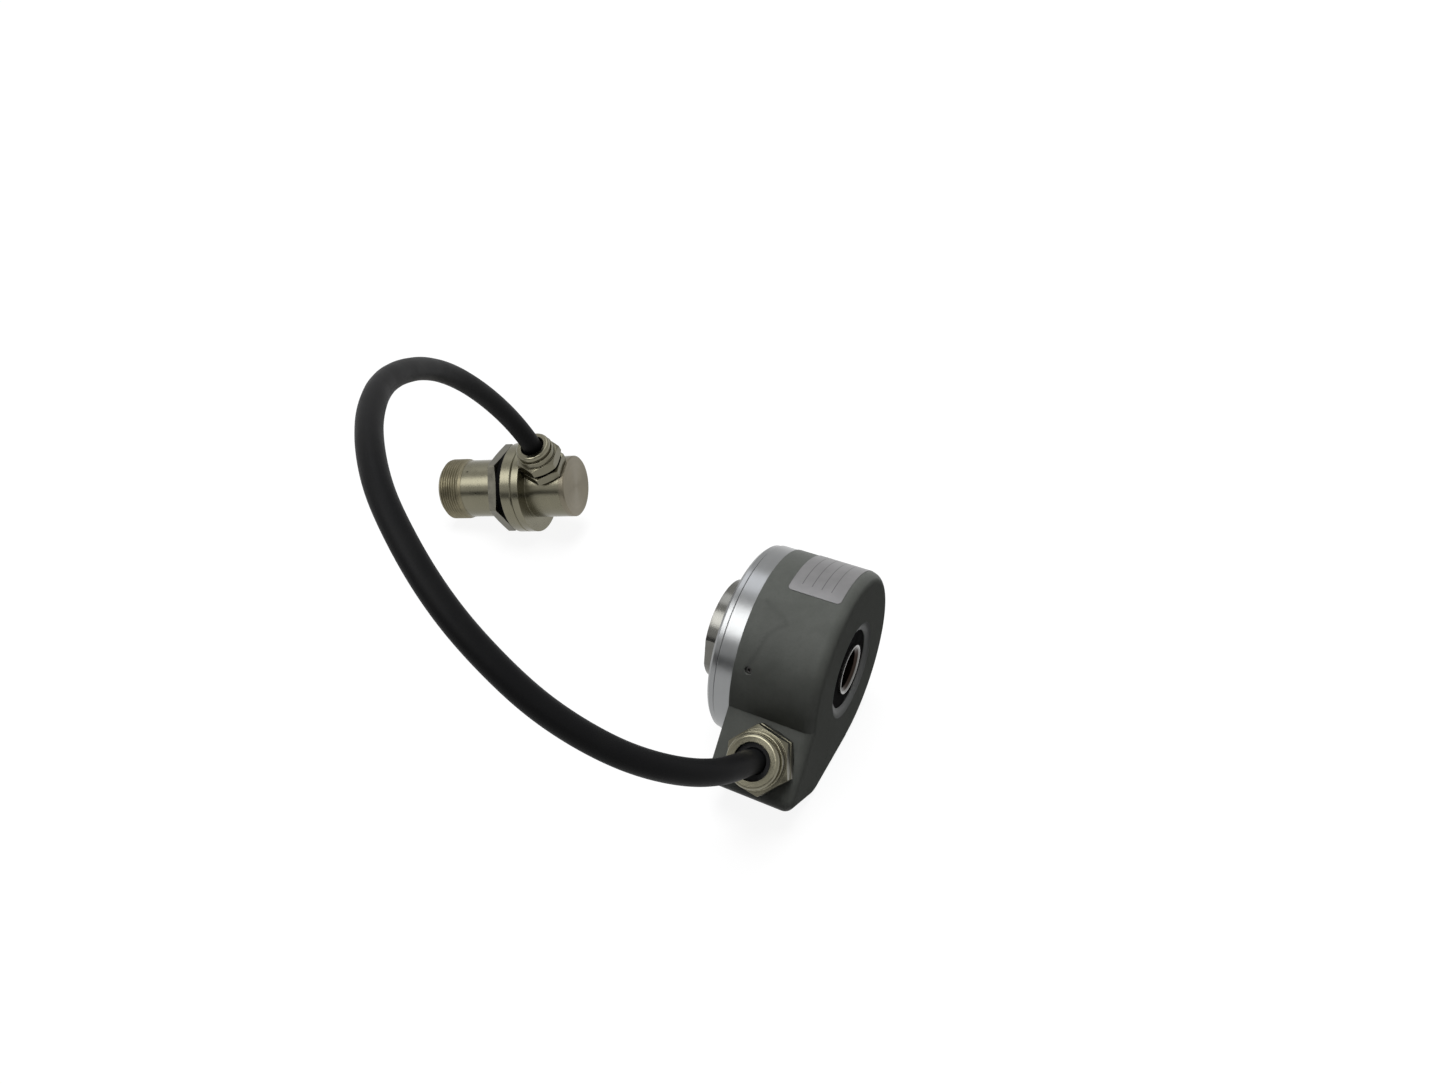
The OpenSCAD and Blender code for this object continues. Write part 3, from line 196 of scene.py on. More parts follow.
class CableSettings(bpy.types.PropertyGroup):
    """Sizes and colours of the cable."""

    diameter: size("Diameter", "Outer diameter of the jacket", 7)
    inside: size("Inside", "Length of jacket below the encoder's gland face", 4)
    straight: size("Straight", "Length of jacket that runs straight out of each gland", 3)
    length: size("Length", "Length of the cable between its two ends", 327)
    jacket: colour("Jacket", "Colour of the jacket", (0.0055, 0.0056, 0.006))
    dust: colour("Dust", "Colour of the dust that dulls the jacket", (0.013, 0.013, 0.0127))


class LabelSettings(bpy.types.PropertyGroup):
    """Sizes and colours of the label on the housing."""

    thickness: size("Thickness", "Thickness of the foil", 0.15)
    corner: size("Corner", "Radius of the foil's corners", 1.2)
    rules: whole_number("Rules", "Number of printed rules", 4, 0)
    rule_width: size("Rule width", "Width of a printed rule", 0.22)
    rule_pitch: size("Rule pitch", "Distance between two rules", 2.9)
    foil: colour("Foil", "Colour of the foil", (0.19, 0.187, 0.188))
    ink: colour("Ink", "Colour of the printed rules", (0.06, 0.06, 0.06))


class ThreadSettings(bpy.types.PropertyGroup):
    """Sizes of the thread on the connector's nose."""

    pitch: size("Pitch", "Distance from one turn of the thread to the next", 1)
    depth: size("Depth", "Depth of the thread", 0.55)
    relief: size("Relief", "Length of the plain neck behind the thread", 1)
    chamfer: size("Chamfer", "Chamfer at the nose's tip", 1.4)
    sides: whole_number("Sides", "Facets round the nose", 144, 24)
    steps: whole_number("Steps", "Rings of facets for each turn of the thread", 10, 4)


class FinishSettings(bpy.types.PropertyGroup):
    """Colours of the finishes, in linear values."""

    housing: colour("Housing", "Blasted coat of the die-cast housing", (0.096, 0.101, 0.092))
    mark: colour("Mark", "Handling mark on the housing", (0.058, 0.06, 0.056))
    aluminium: colour("Aluminium", "Turned aluminium of the flange", (0.27, 0.275, 0.277))
    steel: colour("Steel", "Ground steel of shaft and races", (0.3, 0.295, 0.285))
    clamp: colour("Clamp", "Steel of the clamping ring", (0.168, 0.166, 0.152))
    black_steel: colour("Black steel", "Blackened screws and clips", (0.03, 0.03, 0.033))
    nickel: colour("Nickel", "Nickel plated brass", (0.19, 0.179, 0.13))
    nut: colour("Nut", "Zinc plating of the connector's lock nut", (0.165, 0.158, 0.128))
    cap: colour("Cap", "Dull plating of the connector's end cap", (0.222, 0.2, 0.15))
    thread: colour("Thread", "Worn plating of the connector's thread", (0.25, 0.225, 0.15))
    brass: colour("Brass", "Bare brass", (0.6, 0.42, 0.15))
    gold: colour("Gold", "Flashed contacts", (0.8, 0.52, 0.17))
    rubber: colour("Rubber", "Seals and gaskets", (0.005, 0.005, 0.005))
    black_plastic: colour("Black plastic", "Black mouldings", (0.018, 0.018, 0.019))
    pale_plastic: colour("Pale plastic", "Pale mouldings", (0.6, 0.55, 0.42))
    red_plastic: colour("Red plastic", "Clear red moulding of the light source", (0.45, 0.02, 0.015))
    lead: colour("Lead", "Insulation of the inner leads", (0.35, 0.06, 0.03))
    laminate: colour("Laminate", "Solder mask of the circuit board", (0.012, 0.09, 0.03))
    glass: colour("Glass", "Glass of the code disc", (0.75, 0.85, 0.86))


class StageSettings(bpy.types.PropertyGroup):
    """Floor, light and camera."""

    floor: colour("Floor", "Colour of the floor", (0.12, 0.12, 0.12))
    floor_lift: share("Floor lift", "Glow of the floor that keeps the background white", 0.91)
    floor_width: size("Floor width", "Width of the floor", 8000)
    room: share("Room", "Level of the light that comes from all round", 0.06)
    mirrored: share("Mirrored", "Level of the room that metal and glass mirror, where 1 is white", 0.88)
    top_strength: lamp_strength("Top strength", "Strength of the overhead lamp", 2.9)
    top_spread: lamp_spread("Top spread", "Angle over which the overhead lamp spreads", 40)
    top_from: lamp_direction("Top from", "Direction of the overhead lamp", (-0.03, 0.08, 0.996))
    key_strength: lamp_strength("Key strength", "Strength of the panel that metal mirrors", 1.6)
    key_spread: lamp_spread("Key spread", "Angle over which the panel spreads", 38)
    key_from: lamp_direction("Key from", "Direction of the panel", (-0.225, -0.558, 0.799))
    fill_strength: lamp_strength("Fill strength", "Strength of the cool fill lamp", 0.4)
    fill_spread: lamp_spread("Fill spread", "Angle over which the fill lamp spreads", 30)
    fill_from: lamp_direction("Fill from", "Direction of the fill lamp", (-0.348, 0.292, 0.891))
    fill_tone: colour("Fill tone", "Colour of the fill lamp", (0.92, 0.94, 1.0))
    card_distance: size("Card distance", "Distance of the dark card that the metal mirrors", 900)
    card: colour("Card", "Colour of the dark card", (0.012, 0.013, 0.015))
    card_height: size("Card height", "Height of the dark card's top above the shaft axis", 200)
    camera_place: FloatVectorProperty(
        name="Camera place",
        description="Place of the camera",
        default=(0.09803, -0.22382, 0.22054),
        subtype="TRANSLATION",
        unit="LENGTH",
    )
    camera_turn: FloatVectorProperty(
        name="Camera turn",
        description="Turn of the camera about X, Y and Z",
        default=(math.radians(53.17), 0, math.radians(27.19)),
        subtype="EULER",
    )
    camera_lens: FloatProperty(
        name="Lens", description="Focal length on a 36 mm frame", default=27.216, unit="CAMERA"
    )


class Finish:
    """One material's node tree, with short calls for the nodes that the finishes share."""

    def __init__(self, name):
        self.material = bpy.data.materials.new(name)
        self.material.use_nodes = True
        self.tree = self.material.node_tree
        self.tree.nodes.clear()

    def node(self, kind, inputs=None, **settings):
        """Adds a node; each input is a value or another node's output."""
        made = self.tree.nodes.new("ShaderNode" + kind)
        for key, value in settings.items():
            setattr(made, key, value)
        for key, value in (inputs or {}).items():
            if isinstance(value, bpy.types.NodeSocket):
                self.tree.links.new(value, made.inputs[key])
            else:
                made.inputs[key].default_value = value
        return made

    def math(self, operation, a, b=0.0, clamp=False):
        return self.node("Math", {0: a, 1: b}, operation=operation, use_clamp=clamp).outputs[0]

    def vector(self, operation, a, b=(0, 0, 0)):
        return self.node("VectorMath", {0: a, 1: b}, operation=operation).outputs[0]

    def measure(self, operation, a, b=(0, 0, 0)):
        """A vector calculation that gives a number."""
        return self.node("VectorMath", {0: a, 1: b}, operation=operation).outputs["Value"]

    def scaled(self, a, factor):
        return self.node("VectorMath", {0: a, "Scale": factor}, operation="SCALE").outputs[0]

    def combine(self, x, y):
        """A place on a flat map."""
        return self.node("CombineXYZ", {0: x, 1: y}).outputs[0]

    def spread(self, value, low, high, new_low, new_high):
        """Value from low to high carried over to new_low to new_high, and held there."""
        inputs = {0: value, 1: low, 2: high, 3: new_low, 4: new_high}
        return self.node("MapRange", inputs).outputs[0]

    def vary(self, noise, low, high):
        """A value that follows a noise from low to high."""
        return self.spread(noise, NOISE_LOW, NOISE_HIGH, low, high)

    def noise(self, place, scale, detail=2.0, roughness=0.5):
        inputs = {"Vector": place, "Scale": scale, "Detail": detail, "Roughness": roughness}
        return self.node("TexNoise", inputs).outputs[0]

    def mix(self, amount, a, b):
        """Colour a where amount is 0 and b where it is 1."""
        inputs = {0: amount, 6: opaque(a), 7: opaque(b)}
        return self.node("Mix", inputs, data_type="RGBA").outputs[2]

    def place(self):
        """Place on the piece in its own frame, in millimetres."""
        return self.scaled(self.node("TexCoord").outputs["Object"], 1 / MM)

    def lathe(self, axis):
        """Distance along an axis, distance from it, and the way outwards, in millimetres."""
        point, direction = axis
        offset = self.vector("SUBTRACT", self.place(), tuple(point / MM))
        along = self.measure("DOT_PRODUCT", offset, tuple(direction))
        outwards = self.vector("SUBTRACT", offset, self.scaled(tuple(direction), along))
        return along, self.measure("LENGTH", outwards), outwards

    def tangent(self, axis, outwards):
        """Direction of the tool marks round a turned piece."""
        around = self.vector("CROSS_PRODUCT", tuple(axis[1]), outwards)
        settings = {"vector_type": "VECTOR", "convert_from": "OBJECT", "convert_to": "WORLD"}
        return self.node("VectorTransform", {0: self.vector("NORMALIZE", around)}, **settings).outputs[0]

    def soft_edges(self, radius):
        """The surface's direction with its edges rounded by a radius in millimetres."""
        return self.node("Bevel", {"Radius": radius * MM}, samples=6).outputs[0]

    def edge_wear(self, radius, breakup):
        """1 along edges and 0 elsewhere, broken up by a number around one half."""
        rounded = self.soft_edges(radius)
        turned = self.measure("DOT_PRODUCT", rounded, self.node("NewGeometry").outputs["Normal"])
        edge = self.spread(turned, 0.8, 0.995, 1, 0)
        return self.math("MULTIPLY", edge, self.spread(breakup, 0.35, 0.65, 0, 1))

    def bump(self, height, depth, normal):
        """Relief of a depth in millimetres."""
        inputs = {"Height": height, "Distance": depth * MM, "Strength": 1.0, "Normal": normal}
        return self.node("Bump", inputs).outputs[0]

    def surface(self, **inputs):
        """Ends the tree in a surface shader and gives the material."""
        named = {key.replace("_", " ").title(): value for key, value in inputs.items()}
        for short, full in (("Ior", "IOR"), ("Specular Ior Level", "Specular IOR Level")):
            if short in named:
                named[full] = named.pop(short)
        shader = self.node("BsdfPrincipled", named)
        self.node("OutputMaterial", {"Surface": shader.outputs[0]})
        return self.material


def opaque(value):
    """A colour of three numbers with its alpha; a node's output stays as it is."""
    return value if isinstance(value, bpy.types.NodeSocket) else (*value[:3], 1.0)


def shade(tone, factor):
    """A colour made darker or lighter."""
    return tuple(min(1.0, part * factor) for part in tone)


def turned_metal(
    name, tone, axis, roughness=0.24, marks=0.18, dullness=0.05, edge=0.25, streak=0.025, drawn=0.7,
    dot=None, bore_shade=None, painted_shade=None,
):
    """Turned metal: fine rings about the axis, soft stains and bright worn edges.

    It may have a dark dot, painted shade in its bore up to a radius, or painted shade up to a height.
    """
    made = Finish(name)
    along, radius, outwards = made.lathe(axis)
    rings = made.combine(along, radius)
    fine = made.noise(rings, 4.5, 3)
    broad = made.noise(rings, 0.7, 2)
    stain = made.noise(made.place(), 0.16, 4, 0.6)
    base = made.mix(made.vary(stain, 0, 1), shade(tone, 1 - 2 * dullness), tone)
    base = made.mix(made.spread(broad, 0.35, 0.65, 0, dullness), base, shade(tone, 0.5))
    worn = made.edge_wear(edge, stain)
    base = made.mix(made.math("MULTIPLY", worn, 0.6), base, shade(tone, 1.25))
    if dot:
        gap = made.measure("DISTANCE", made.place(), tuple(dot))
        dotted = made.spread(gap, 0.7 * INDEX_RADIUS, INDEX_RADIUS, 0.8, 0)
        base = made.mix(dotted, base, shade(tone, 0.2))
    # Painted shade: the bore and its bevel are darkened up to a radius
    if bore_shade:
        base = made.mix(made.spread(radius, *bore_shade, 1, 0), base, BORE_SHADE_COLOUR)
    # Painted shade: the piece is darkened up to a height along its axis
    if painted_shade:
        low, high, depth = painted_shade
        base = made.mix(made.spread(along, low, high, depth, 0), base, shade(tone, 0.15))
    drawn_marks = made.vary(fine, roughness - streak, roughness + streak)
    rough = made.math("ADD", drawn_marks, made.spread(stain, 0.35, 0.7, 0, 0.05))
    return made.surface(
        base_color=base,
        metallic=1.0,
        roughness=rough,
        anisotropic=drawn,
        anisotropic_rotation=0.25,
        tangent=made.tangent(axis, outwards),
        normal=made.bump(fine, TOOL_MARK * marks, made.soft_edges(edge)),
    )


def plain_metal(name, tone, roughness=0.25, dullness=0.12):
    """Metal without tool marks: ground, plated, milled or blackened."""
    made = Finish(name)
    place = made.place()
    stain = made.noise(place, 0.3, 4, 0.6)
    grain = made.noise(place, 7, 2)
    base = made.mix(made.vary(stain, 0, 1), shade(tone, 1 - 2 * dullness), tone)
    worn = made.edge_wear(SMALL_EDGE, stain)
    base = made.mix(made.math("MULTIPLY", worn, 0.5), base, shade(tone, 1.5))
    return made.surface(
        base_color=base,
        metallic=1.0,
        roughness=made.vary(stain, roughness - 0.05, roughness + 0.08),
        normal=made.bump(grain, 0.003, made.soft_edges(SMALL_EDGE)),
    )


def moulded(name, tone, roughness=0.45, shine=0.15, **extra):
    """Moulded plastic or rubber with a fine grain."""
    made = Finish(name)
    place = made.place()
    grain = made.noise(place, 6, 3)
    cloud = made.noise(place, 0.4, 3)
    base = made.mix(made.vary(cloud, 0, 1), shade(tone, 0.8), shade(tone, 1.15))
    return made.surface(
        base_color=base,
        roughness=made.vary(cloud, roughness - 0.06, roughness + 0.08),
        specular_ior_level=shine,
        normal=made.bump(grain, 0.012, made.soft_edges(SMALL_EDGE)),
        **extra,
    )


def line_distance(made, place, points):
    """Distance of a flat place from a line of points, all in the same units."""
    nearest = None
    for start, end in zip(points, points[1:]):
        run = Vector((*end, 0)) - Vector((*start, 0))
        offset = made.vector("SUBTRACT", place, (*start, 0))
        reach = made.measure("DOT_PRODUCT", offset, tuple(run / run.length_squared))
        reach = made.math("ADD", reach, 0.0, clamp=True)
        gap = made.measure("LENGTH", made.vector("SUBTRACT", offset, made.scaled(tuple(run), reach)))
        nearest = gap if nearest is None else made.math("MINIMUM", nearest, gap)
    return nearest


def shaft_angle(made):
    """Angle round the shaft, from +Y towards +Z, in degrees."""
    parts = made.node("SeparateXYZ", {0: made.place()}).outputs
    return made.math("MULTIPLY", made.math("ARCTAN2", parts[2], parts[1]), math.degrees(1))


def cast_housing(settings):
    """Blasted and coated die casting with a handling mark and a bare rim round the rear opening."""
    made = Finish("cast_housing_coat")
    place = made.place()
    along, radius, _ = made.lathe(SHAFT)
    grain = made.noise(place, 3.2, 4, 0.6)
    cloud = made.noise(place, 0.13, 4, 0.55)
    fleck = made.noise(place, 1.3, 2)
    base = made.mix(made.vary(cloud, 0, 1), shade(settings.housing, 0.86), shade(settings.housing, 1.1))
    base = made.mix(made.spread(fleck, 0.45, 0.8, 0, 0.35), base, shade(settings.housing, 0.8))
    # Millimetres of the round wall that one degree covers
    degree = math.radians(1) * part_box("housing")[1].z / MM
    wavy = made.math("ADD", along, made.spread(fleck, 0.2, 0.8, -0.5, 0.5))
    mark_at = made.combine(wavy, made.math("MULTIPLY", shaft_angle(made), degree))
    gap = line_distance(made, mark_at, [(x, angle * degree) for x, angle in HANDLING_MARK])
    mark = made.spread(gap, 0.1, 1.1, 0.55, 0)
    faded = made.math("MULTIPLY", mark, made.spread(cloud, 0.35, 0.6, 0.35, 1))
    base = made.mix(faded, base, settings.mark)
    worn = made.edge_wear(0.5, fleck)
    base = made.mix(made.math("MULTIPLY", worn, 0.5), base, shade(settings.housing, 1.9))
    rim = made.math("MULTIPLY", made.spread(radius, *RIM_END, 1, 0), made.spread(along, *RIM_START, 0, 1))
    base = made.mix(made.math("MULTIPLY", rim, 0.55), base, settings.aluminium)
    return made.surface(
        base_color=base,
        roughness=made.math("ADD", made.vary(cloud, 0.42, 0.5), made.spread(along, *REAR_FACE, 0, 0.35)),
        specular_ior_level=0.09,
        normal=made.bump(grain, 0.03, made.soft_edges(0.3)),
    )


def cable_jacket(settings):
    """Extruded jacket: matt, with a fine grain and clouds of dust."""
    made = Finish("cable_jacket_rubber")
    place = made.place()
    cloud = made.noise(place, 0.09, 4, 0.6)
    grain = made.noise(place, 4, 3)
    base = made.mix(made.spread(cloud, 0.45, 0.8, 0, 0.5), settings.jacket, settings.dust)
    base = made.mix(made.spread(grain, 0.5, 0.8, 0, 0.25), base, settings.dust)
    return made.surface(
        base_color=base,
        roughness=made.vary(cloud, 0.46, 0.58),
        specular_ior_level=0.08,
        normal=made.bump(grain, 0.015, made.node("NewGeometry").outputs["Normal"]),
    )


def label_foil(settings, first_rule, ends):
    """Silver grey foil with plain rules printed round the housing between two angles in degrees."""
    made = Finish("label_foil_print")
    place = made.place()
    along = made.node("SeparateXYZ", {0: place}).outputs[0]
    angle = shaft_angle(made)
    cloud = made.noise(place, 0.3, 3)
    fibre = made.noise(place, 9, 2)
    base = made.mix(made.vary(cloud, 0, 1), shade(settings.foil, 0.92), shade(settings.foil, 1.05))
    started = made.math("GREATER_THAN", angle, ends[0])
    inside = made.math("MULTIPLY", started, made.math("LESS_THAN", angle, ends[1]))
    half = settings.rule_width / MM / 2
    for number in range(settings.rules):
        rule = first_rule + number * settings.rule_pitch / MM
        gap = made.math("ABSOLUTE", made.math("SUBTRACT", along, rule))
        inked = made.math("MULTIPLY", inside, made.spread(gap, half * 0.8, half * 1.2, 0.85, 0))
        base = made.mix(inked, base, settings.ink)
    return made.surface(
        base_color=base,
        metallic=0.3,
        roughness=made.vary(fibre, 0.36, 0.46),
        normal=made.bump(fibre, 0.004, made.soft_edges(0.05)),
    )


def board_laminate(settings):
    """Green solder mask with paler tracks below it."""
    made = Finish("board_laminate_mask")
    _, radius, _ = made.lathe(SHAFT)
    around = made.math("MULTIPLY", shaft_angle(made), BOARD_PATTERN_PER_DEGREE)
    tracks = made.node("TexBrick", {
        "Vector": made.combine(radius, around),
        "Scale": 0.45, "Mortar Size": 0.06, "Mortar Smooth": 0.2,
        "Color1": (0, 0, 0, 1), "Color2": (0, 0, 0, 1), "Mortar": (1, 1, 1, 1),
    }).outputs[0]
    cloud = made.noise(made.place(), 0.5, 3)
    base = made.mix(made.vary(cloud, 0, 1), shade(settings.laminate, 0.8), shade(settings.laminate, 1.2))
    base = made.mix(made.math("MULTIPLY", tracks, 0.6), base, shade(settings.laminate, 2.4))
    return made.surface(
        base_color=base,
        roughness=made.vary(cloud, 0.25, 0.4),
        normal=made.bump(tracks, 0.02, made.soft_edges(0.1)),
    )


def disc_glass(settings):
    """Glass disc whose track of fine dark lines is read by the sensor."""
    made = Finish("disc_glass_track")
    _, radius, _ = made.lathe(SHAFT)
    lines = made.math("FRACT", made.math("MULTIPLY", shaft_angle(made), LINES_PER_DEGREE))
    started = made.spread(radius, *TRACK_START, 0, 1)
    band = made.math("MULTIPLY", started, made.spread(radius, *TRACK_END, 1, 0))
    dark = made.math("MULTIPLY", band, made.math("GREATER_THAN", lines, 0.5))
    cloud = made.noise(made.place(), 0.5, 2)
    return made.surface(
        base_color=made.mix(dark, settings.glass, shade(settings.glass, 0.03)),
        roughness=made.vary(cloud, 0.03, 0.08),
        transmission_weight=0.85,
        ior=1.5,
    )


def dress(material, *names):
    """Gives CAD nodes a finish in place of their plain one."""
    for name in names:
        slots = frame["nodes"][name].data.materials
        slots.clear()
        slots.append(material)


def add_piece(name, data, material, node_name):
    """Puts a new piece in the scene in place of a CAD node of the fixed body."""
    piece = bpy.data.objects.new(name, data)
    bpy.context.scene.collection.objects.link(piece)
    data.materials.append(material)
    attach(piece, "stator")
    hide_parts(node_name)
    return piece


def closed_mesh(name, rings):
    """A mesh of quads through rings of points, closed round each ring and from the last to the first."""
    count = len(rings[0])
    points = [point for ring in rings for point in ring]
    faces = []
    for i in range(len(rings)):
        here, there = i * count, (i + 1) % len(rings) * count
        for k in range(count):
            right = (k + 1) % count
            faces.append((here + k, here + right, there + right, there + k))
    return named_mesh(name, points, faces)


def named_mesh(name, points, faces):
    """A smooth mesh whose sharp corners stay sharp."""
    mesh = bpy.data.meshes.new(name)
    mesh.from_pydata(points, [], faces)
    mesh.validate()
    mesh.shade_smooth()
    mesh.set_sharp_from_angle(angle=SHARP)
    mesh.update()
    return mesh


class ENCODER_OT_set_stage(bpy.types.Operator):
    """Lays the floor, sets the light and places the camera"""

    bl_idname = "encoder.set_stage"
    bl_label = "Set the stage"

    def execute(self, context):
        settings = context.scene.encoder_stage
        scene = context.scene
        scene.view_settings.view_transform = "Standard"
        self.lay_floor(settings)
        self.light_room(scene, settings)
        top = self.hang_lamp("top", settings)
        top.visible_glossy = False
        key = self.hang_lamp("key", settings)
        key.visible_diffuse = False
        fill = self.hang_lamp("fill", settings)
        fill.data.color = settings.fill_tone
        self.stand_card(settings)
        self.place_camera(scene, settings)
        return {"FINISHED"}

    @staticmethod
    def background_rays(tree, mirrored):
        """1 for the camera's rays, a level for those that metal and glass send on, and 0 for others."""
        path = tree.nodes.new("ShaderNodeLightPath")
        seen = path.outputs["Is Camera Ray"]
        for name in ("Is Glossy Ray", "Is Transmission Ray"):
            dimmed = tree.nodes.new("ShaderNodeMath")
            dimmed.operation = "MULTIPLY"
            tree.links.new(path.outputs[name], dimmed.inputs[0])
            dimmed.inputs[1].default_value = mirrored
            either = tree.nodes.new("ShaderNodeMath")
            either.operation = "MAXIMUM"
            tree.links.new(seen, either.inputs[0])
            tree.links.new(dimmed.outputs[0], either.inputs[1])
            seen = either.outputs[0]
        return seen

    @staticmethod
    def stage_object(name, points, material):
        """A flat four-sided piece of the stage."""
        mesh = bpy.data.meshes.new(name)
        mesh.from_pydata(points, [], [(0, 1, 2, 3)])
        mesh.materials.append(material)
        piece = bpy.data.objects.new(name, mesh)
        bpy.context.scene.collection.objects.link(piece)
        return piece

    def lay_floor(self, settings):
        """A matt floor whose glow only the camera, metal and glass see."""
        made = Finish("pale_floor")
        lift = made.math("MULTIPLY", self.background_rays(made.tree, 1.0), settings.floor_lift)
        matt = made.node("BsdfDiffuse", {"Color": opaque(settings.floor)})
        glow = made.node("Emission", {"Color": (1, 1, 1, 1), "Strength": lift})
        both = made.node("AddShader", {0: matt.outputs[0], 1: glow.outputs[0]})
        made.node("OutputMaterial", {"Surface": both.outputs[0]})
        reach = settings.floor_width / 2
        height = MOUNTS["foot"]["pos_m"][2]
        sides = [(-reach, -reach), (reach, -reach), (reach, reach), (-reach, reach)]
        corners = [(x, y, height) for x, y in sides]
        self.stage_object("floor", corners, made.material)

    def light_room(self, scene, settings):
        """A room that is dim for matt surfaces, pale in metal and glass, and white for the camera."""
        world = bpy.data.worlds.new("studio_room")
        world.use_nodes = True
        tree = world.node_tree
        tree.nodes.clear()
        level = tree.nodes.new("ShaderNodeMapRange")
        level.inputs["To Min"].default_value = settings.room
        level.inputs["To Max"].default_value = 1.0
        tree.links.new(self.background_rays(tree, settings.mirrored), level.inputs["Value"])
        background = tree.nodes.new("ShaderNodeBackground")
        tree.links.new(level.outputs[0], background.inputs["Strength"])
        background.inputs["Color"].default_value = (1, 1, 1, 1)
        output = tree.nodes.new("ShaderNodeOutputWorld")
        tree.links.new(background.outputs[0], output.inputs["Surface"])
        scene.world = world

    @staticmethod
    def hang_lamp(name, settings):
        """A large soft lamp, far enough away to light the whole floor evenly."""
        data = bpy.data.lights.new(name, "SUN")
        data.energy = getattr(settings, name + "_strength")
        data.angle = getattr(settings, name + "_spread")
        lamp = bpy.data.objects.new(name, data)
        direction = Vector(getattr(settings, name + "_from"))
        lamp.rotation_euler = direction.to_track_quat("Z", "Y").to_euler()
        bpy.context.scene.collection.objects.link(lamp)
        return lamp

    def stand_card(self, settings):
        """A dark card low on the camera's side, which shows only in reflections."""
        made = Finish("dark_card")
        dim = made.node("Emission", {"Color": opaque(settings.card)})
        made.node("OutputMaterial", {"Surface": dim.outputs[0]})
        far = settings.card_distance
        low, high = MOUNTS["foot"]["pos_m"][2], settings.card_height
        corners = [(-far, -far, low), (far, -far, low), (far, -far, high), (-far, -far, high)]
        card = self.stage_object("dark_card", corners, made.material)
        card.visible_camera = False
        card.visible_diffuse = False
        card.visible_shadow = False

    @staticmethod
    def place_camera(scene, settings):
        """The camera where the photograph was taken from."""
        data = bpy.data.cameras.new("camera")
        data.sensor_width = 36
        data.lens = settings.camera_lens
        data.clip_start = 0.01
        camera = bpy.data.objects.new("camera", data)
        camera.location = settings.camera_place
        camera.rotation_euler = settings.camera_turn
        scene.collection.objects.link(camera)
        scene.camera = camera


class ENCODER_OT_lay_cable(bpy.types.Operator):
    """Lays the cable from the encoder's gland to the elbow's gland"""

    bl_idname = "encoder.lay_cable"
    bl_label = "Lay the cable"

    def execute(self, context):
        settings = context.scene.encoder_cable
        curve = bpy.data.curves.new("cable_run", "CURVE")
        curve.dimensions = "3D"
        curve.resolution_u = 8
        curve.use_fill_caps = True
        curve.bevel_depth = settings.diameter / 2
        curve.bevel_resolution = 8
        points = self.route(settings)
        spline = curve.splines.new("NURBS")
        spline.points.add(len(points) - 1)
        for knot, point in zip(spline.points, points):
            knot.co = (*point, 1)
        spline.order_u = 4
        spline.use_endpoint_u = True
        piece = add_piece("cable_run", curve, cable_jacket(settings), "cable")
        nose = bpy.data.objects.get("threaded_nose")
        if nose is None:
            raise RuntimeError("the connector's nose has to be cut before the cable is laid")
        return {"FINISHED"}

    @staticmethod
    def route(settings):
        """The cable's centre line, straight in both glands."""
        leaving = [-settings.inside, 0, GLAND_MOUTH, GLAND_MOUTH + settings.straight]
        arriving = [ELBOW_MOUTH + settings.straight, ELBOW_MOUTH, 0]
        return [
            *[GLAND_FACE + height * GLAND[1] for height in leaving],
            *[MM * Vector(point) for point in CABLE_ROUTE],
            *[ELBOW_FACE + height * ELBOW_GLAND[1] for height in arriving],
        ]


class ENCODER_OT_stick_label(bpy.types.Operator):
    """Sticks the ruled foil label round the housing"""

    bl_idname = "encoder.stick_label"
    bl_label = "Stick the label"

    def execute(self, context):
        settings = context.scene.encoder_label
        low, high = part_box("label")
        outer = high.z
        ends = [math.acos(high.y / outer), math.acos(low.y / outer)]
        mesh = closed_strip(low.x, high.x, outer, ends, settings)
        printed = [math.degrees(ends[0]) + PRINT_MARGIN, math.degrees(ends[1]) - PRINT_MARGIN]
        material = label_foil(settings, low.x / MM + FIRST_RULE, printed)
        add_piece("foil_label", mesh, material, "label")
        return {"FINISHED"}


def closed_strip(front, back, outer, ends, settings):
    """A thin sheet with rounded corners, bent round the shaft axis."""
    corner = settings.corner
    inner = outer - settings.thickness
    turn = corner / outer
    corner_steps = 8
    length_steps = 48
    first, last = ends
    rounded = [turn * (1 - math.cos(math.radians(90) * i / corner_steps)) for i in range(corner_steps)]
    straight = [turn + (last - first - 2 * turn) * i / length_steps for i in range(length_steps + 1)]
    angles = rounded + straight + [last - first - angle for angle in reversed(rounded)]
    rings = []
    for angle in angles:
        from_end = min(angle, last - first - angle) * outer
        short = max(0.0, corner - from_end)
        inset = corner - math.sqrt(corner**2 - short**2)
        near, far = front + inset, back - inset
        y, z = math.cos(first + angle), math.sin(first + angle)
        section = [(outer, near), (outer, far), (inner, far), (inner, near)]
        rings.append([(x, radius * y, radius * z) for radius, x in section])
    points = [point for ring in rings for point in ring]
    sides = len(rings[0])
    faces = [tuple(range(sides))]
    for i in range(len(rings) - 1):
        here, there = sides * i, sides * (i + 1)
        for k in range(sides):
            right = (k + 1) % sides
            faces.append((here + k, there + k, there + right, here + right))
    faces.append(tuple(reversed(range(len(points) - sides, len(points)))))
    return named_mesh("foil_label", points, faces)


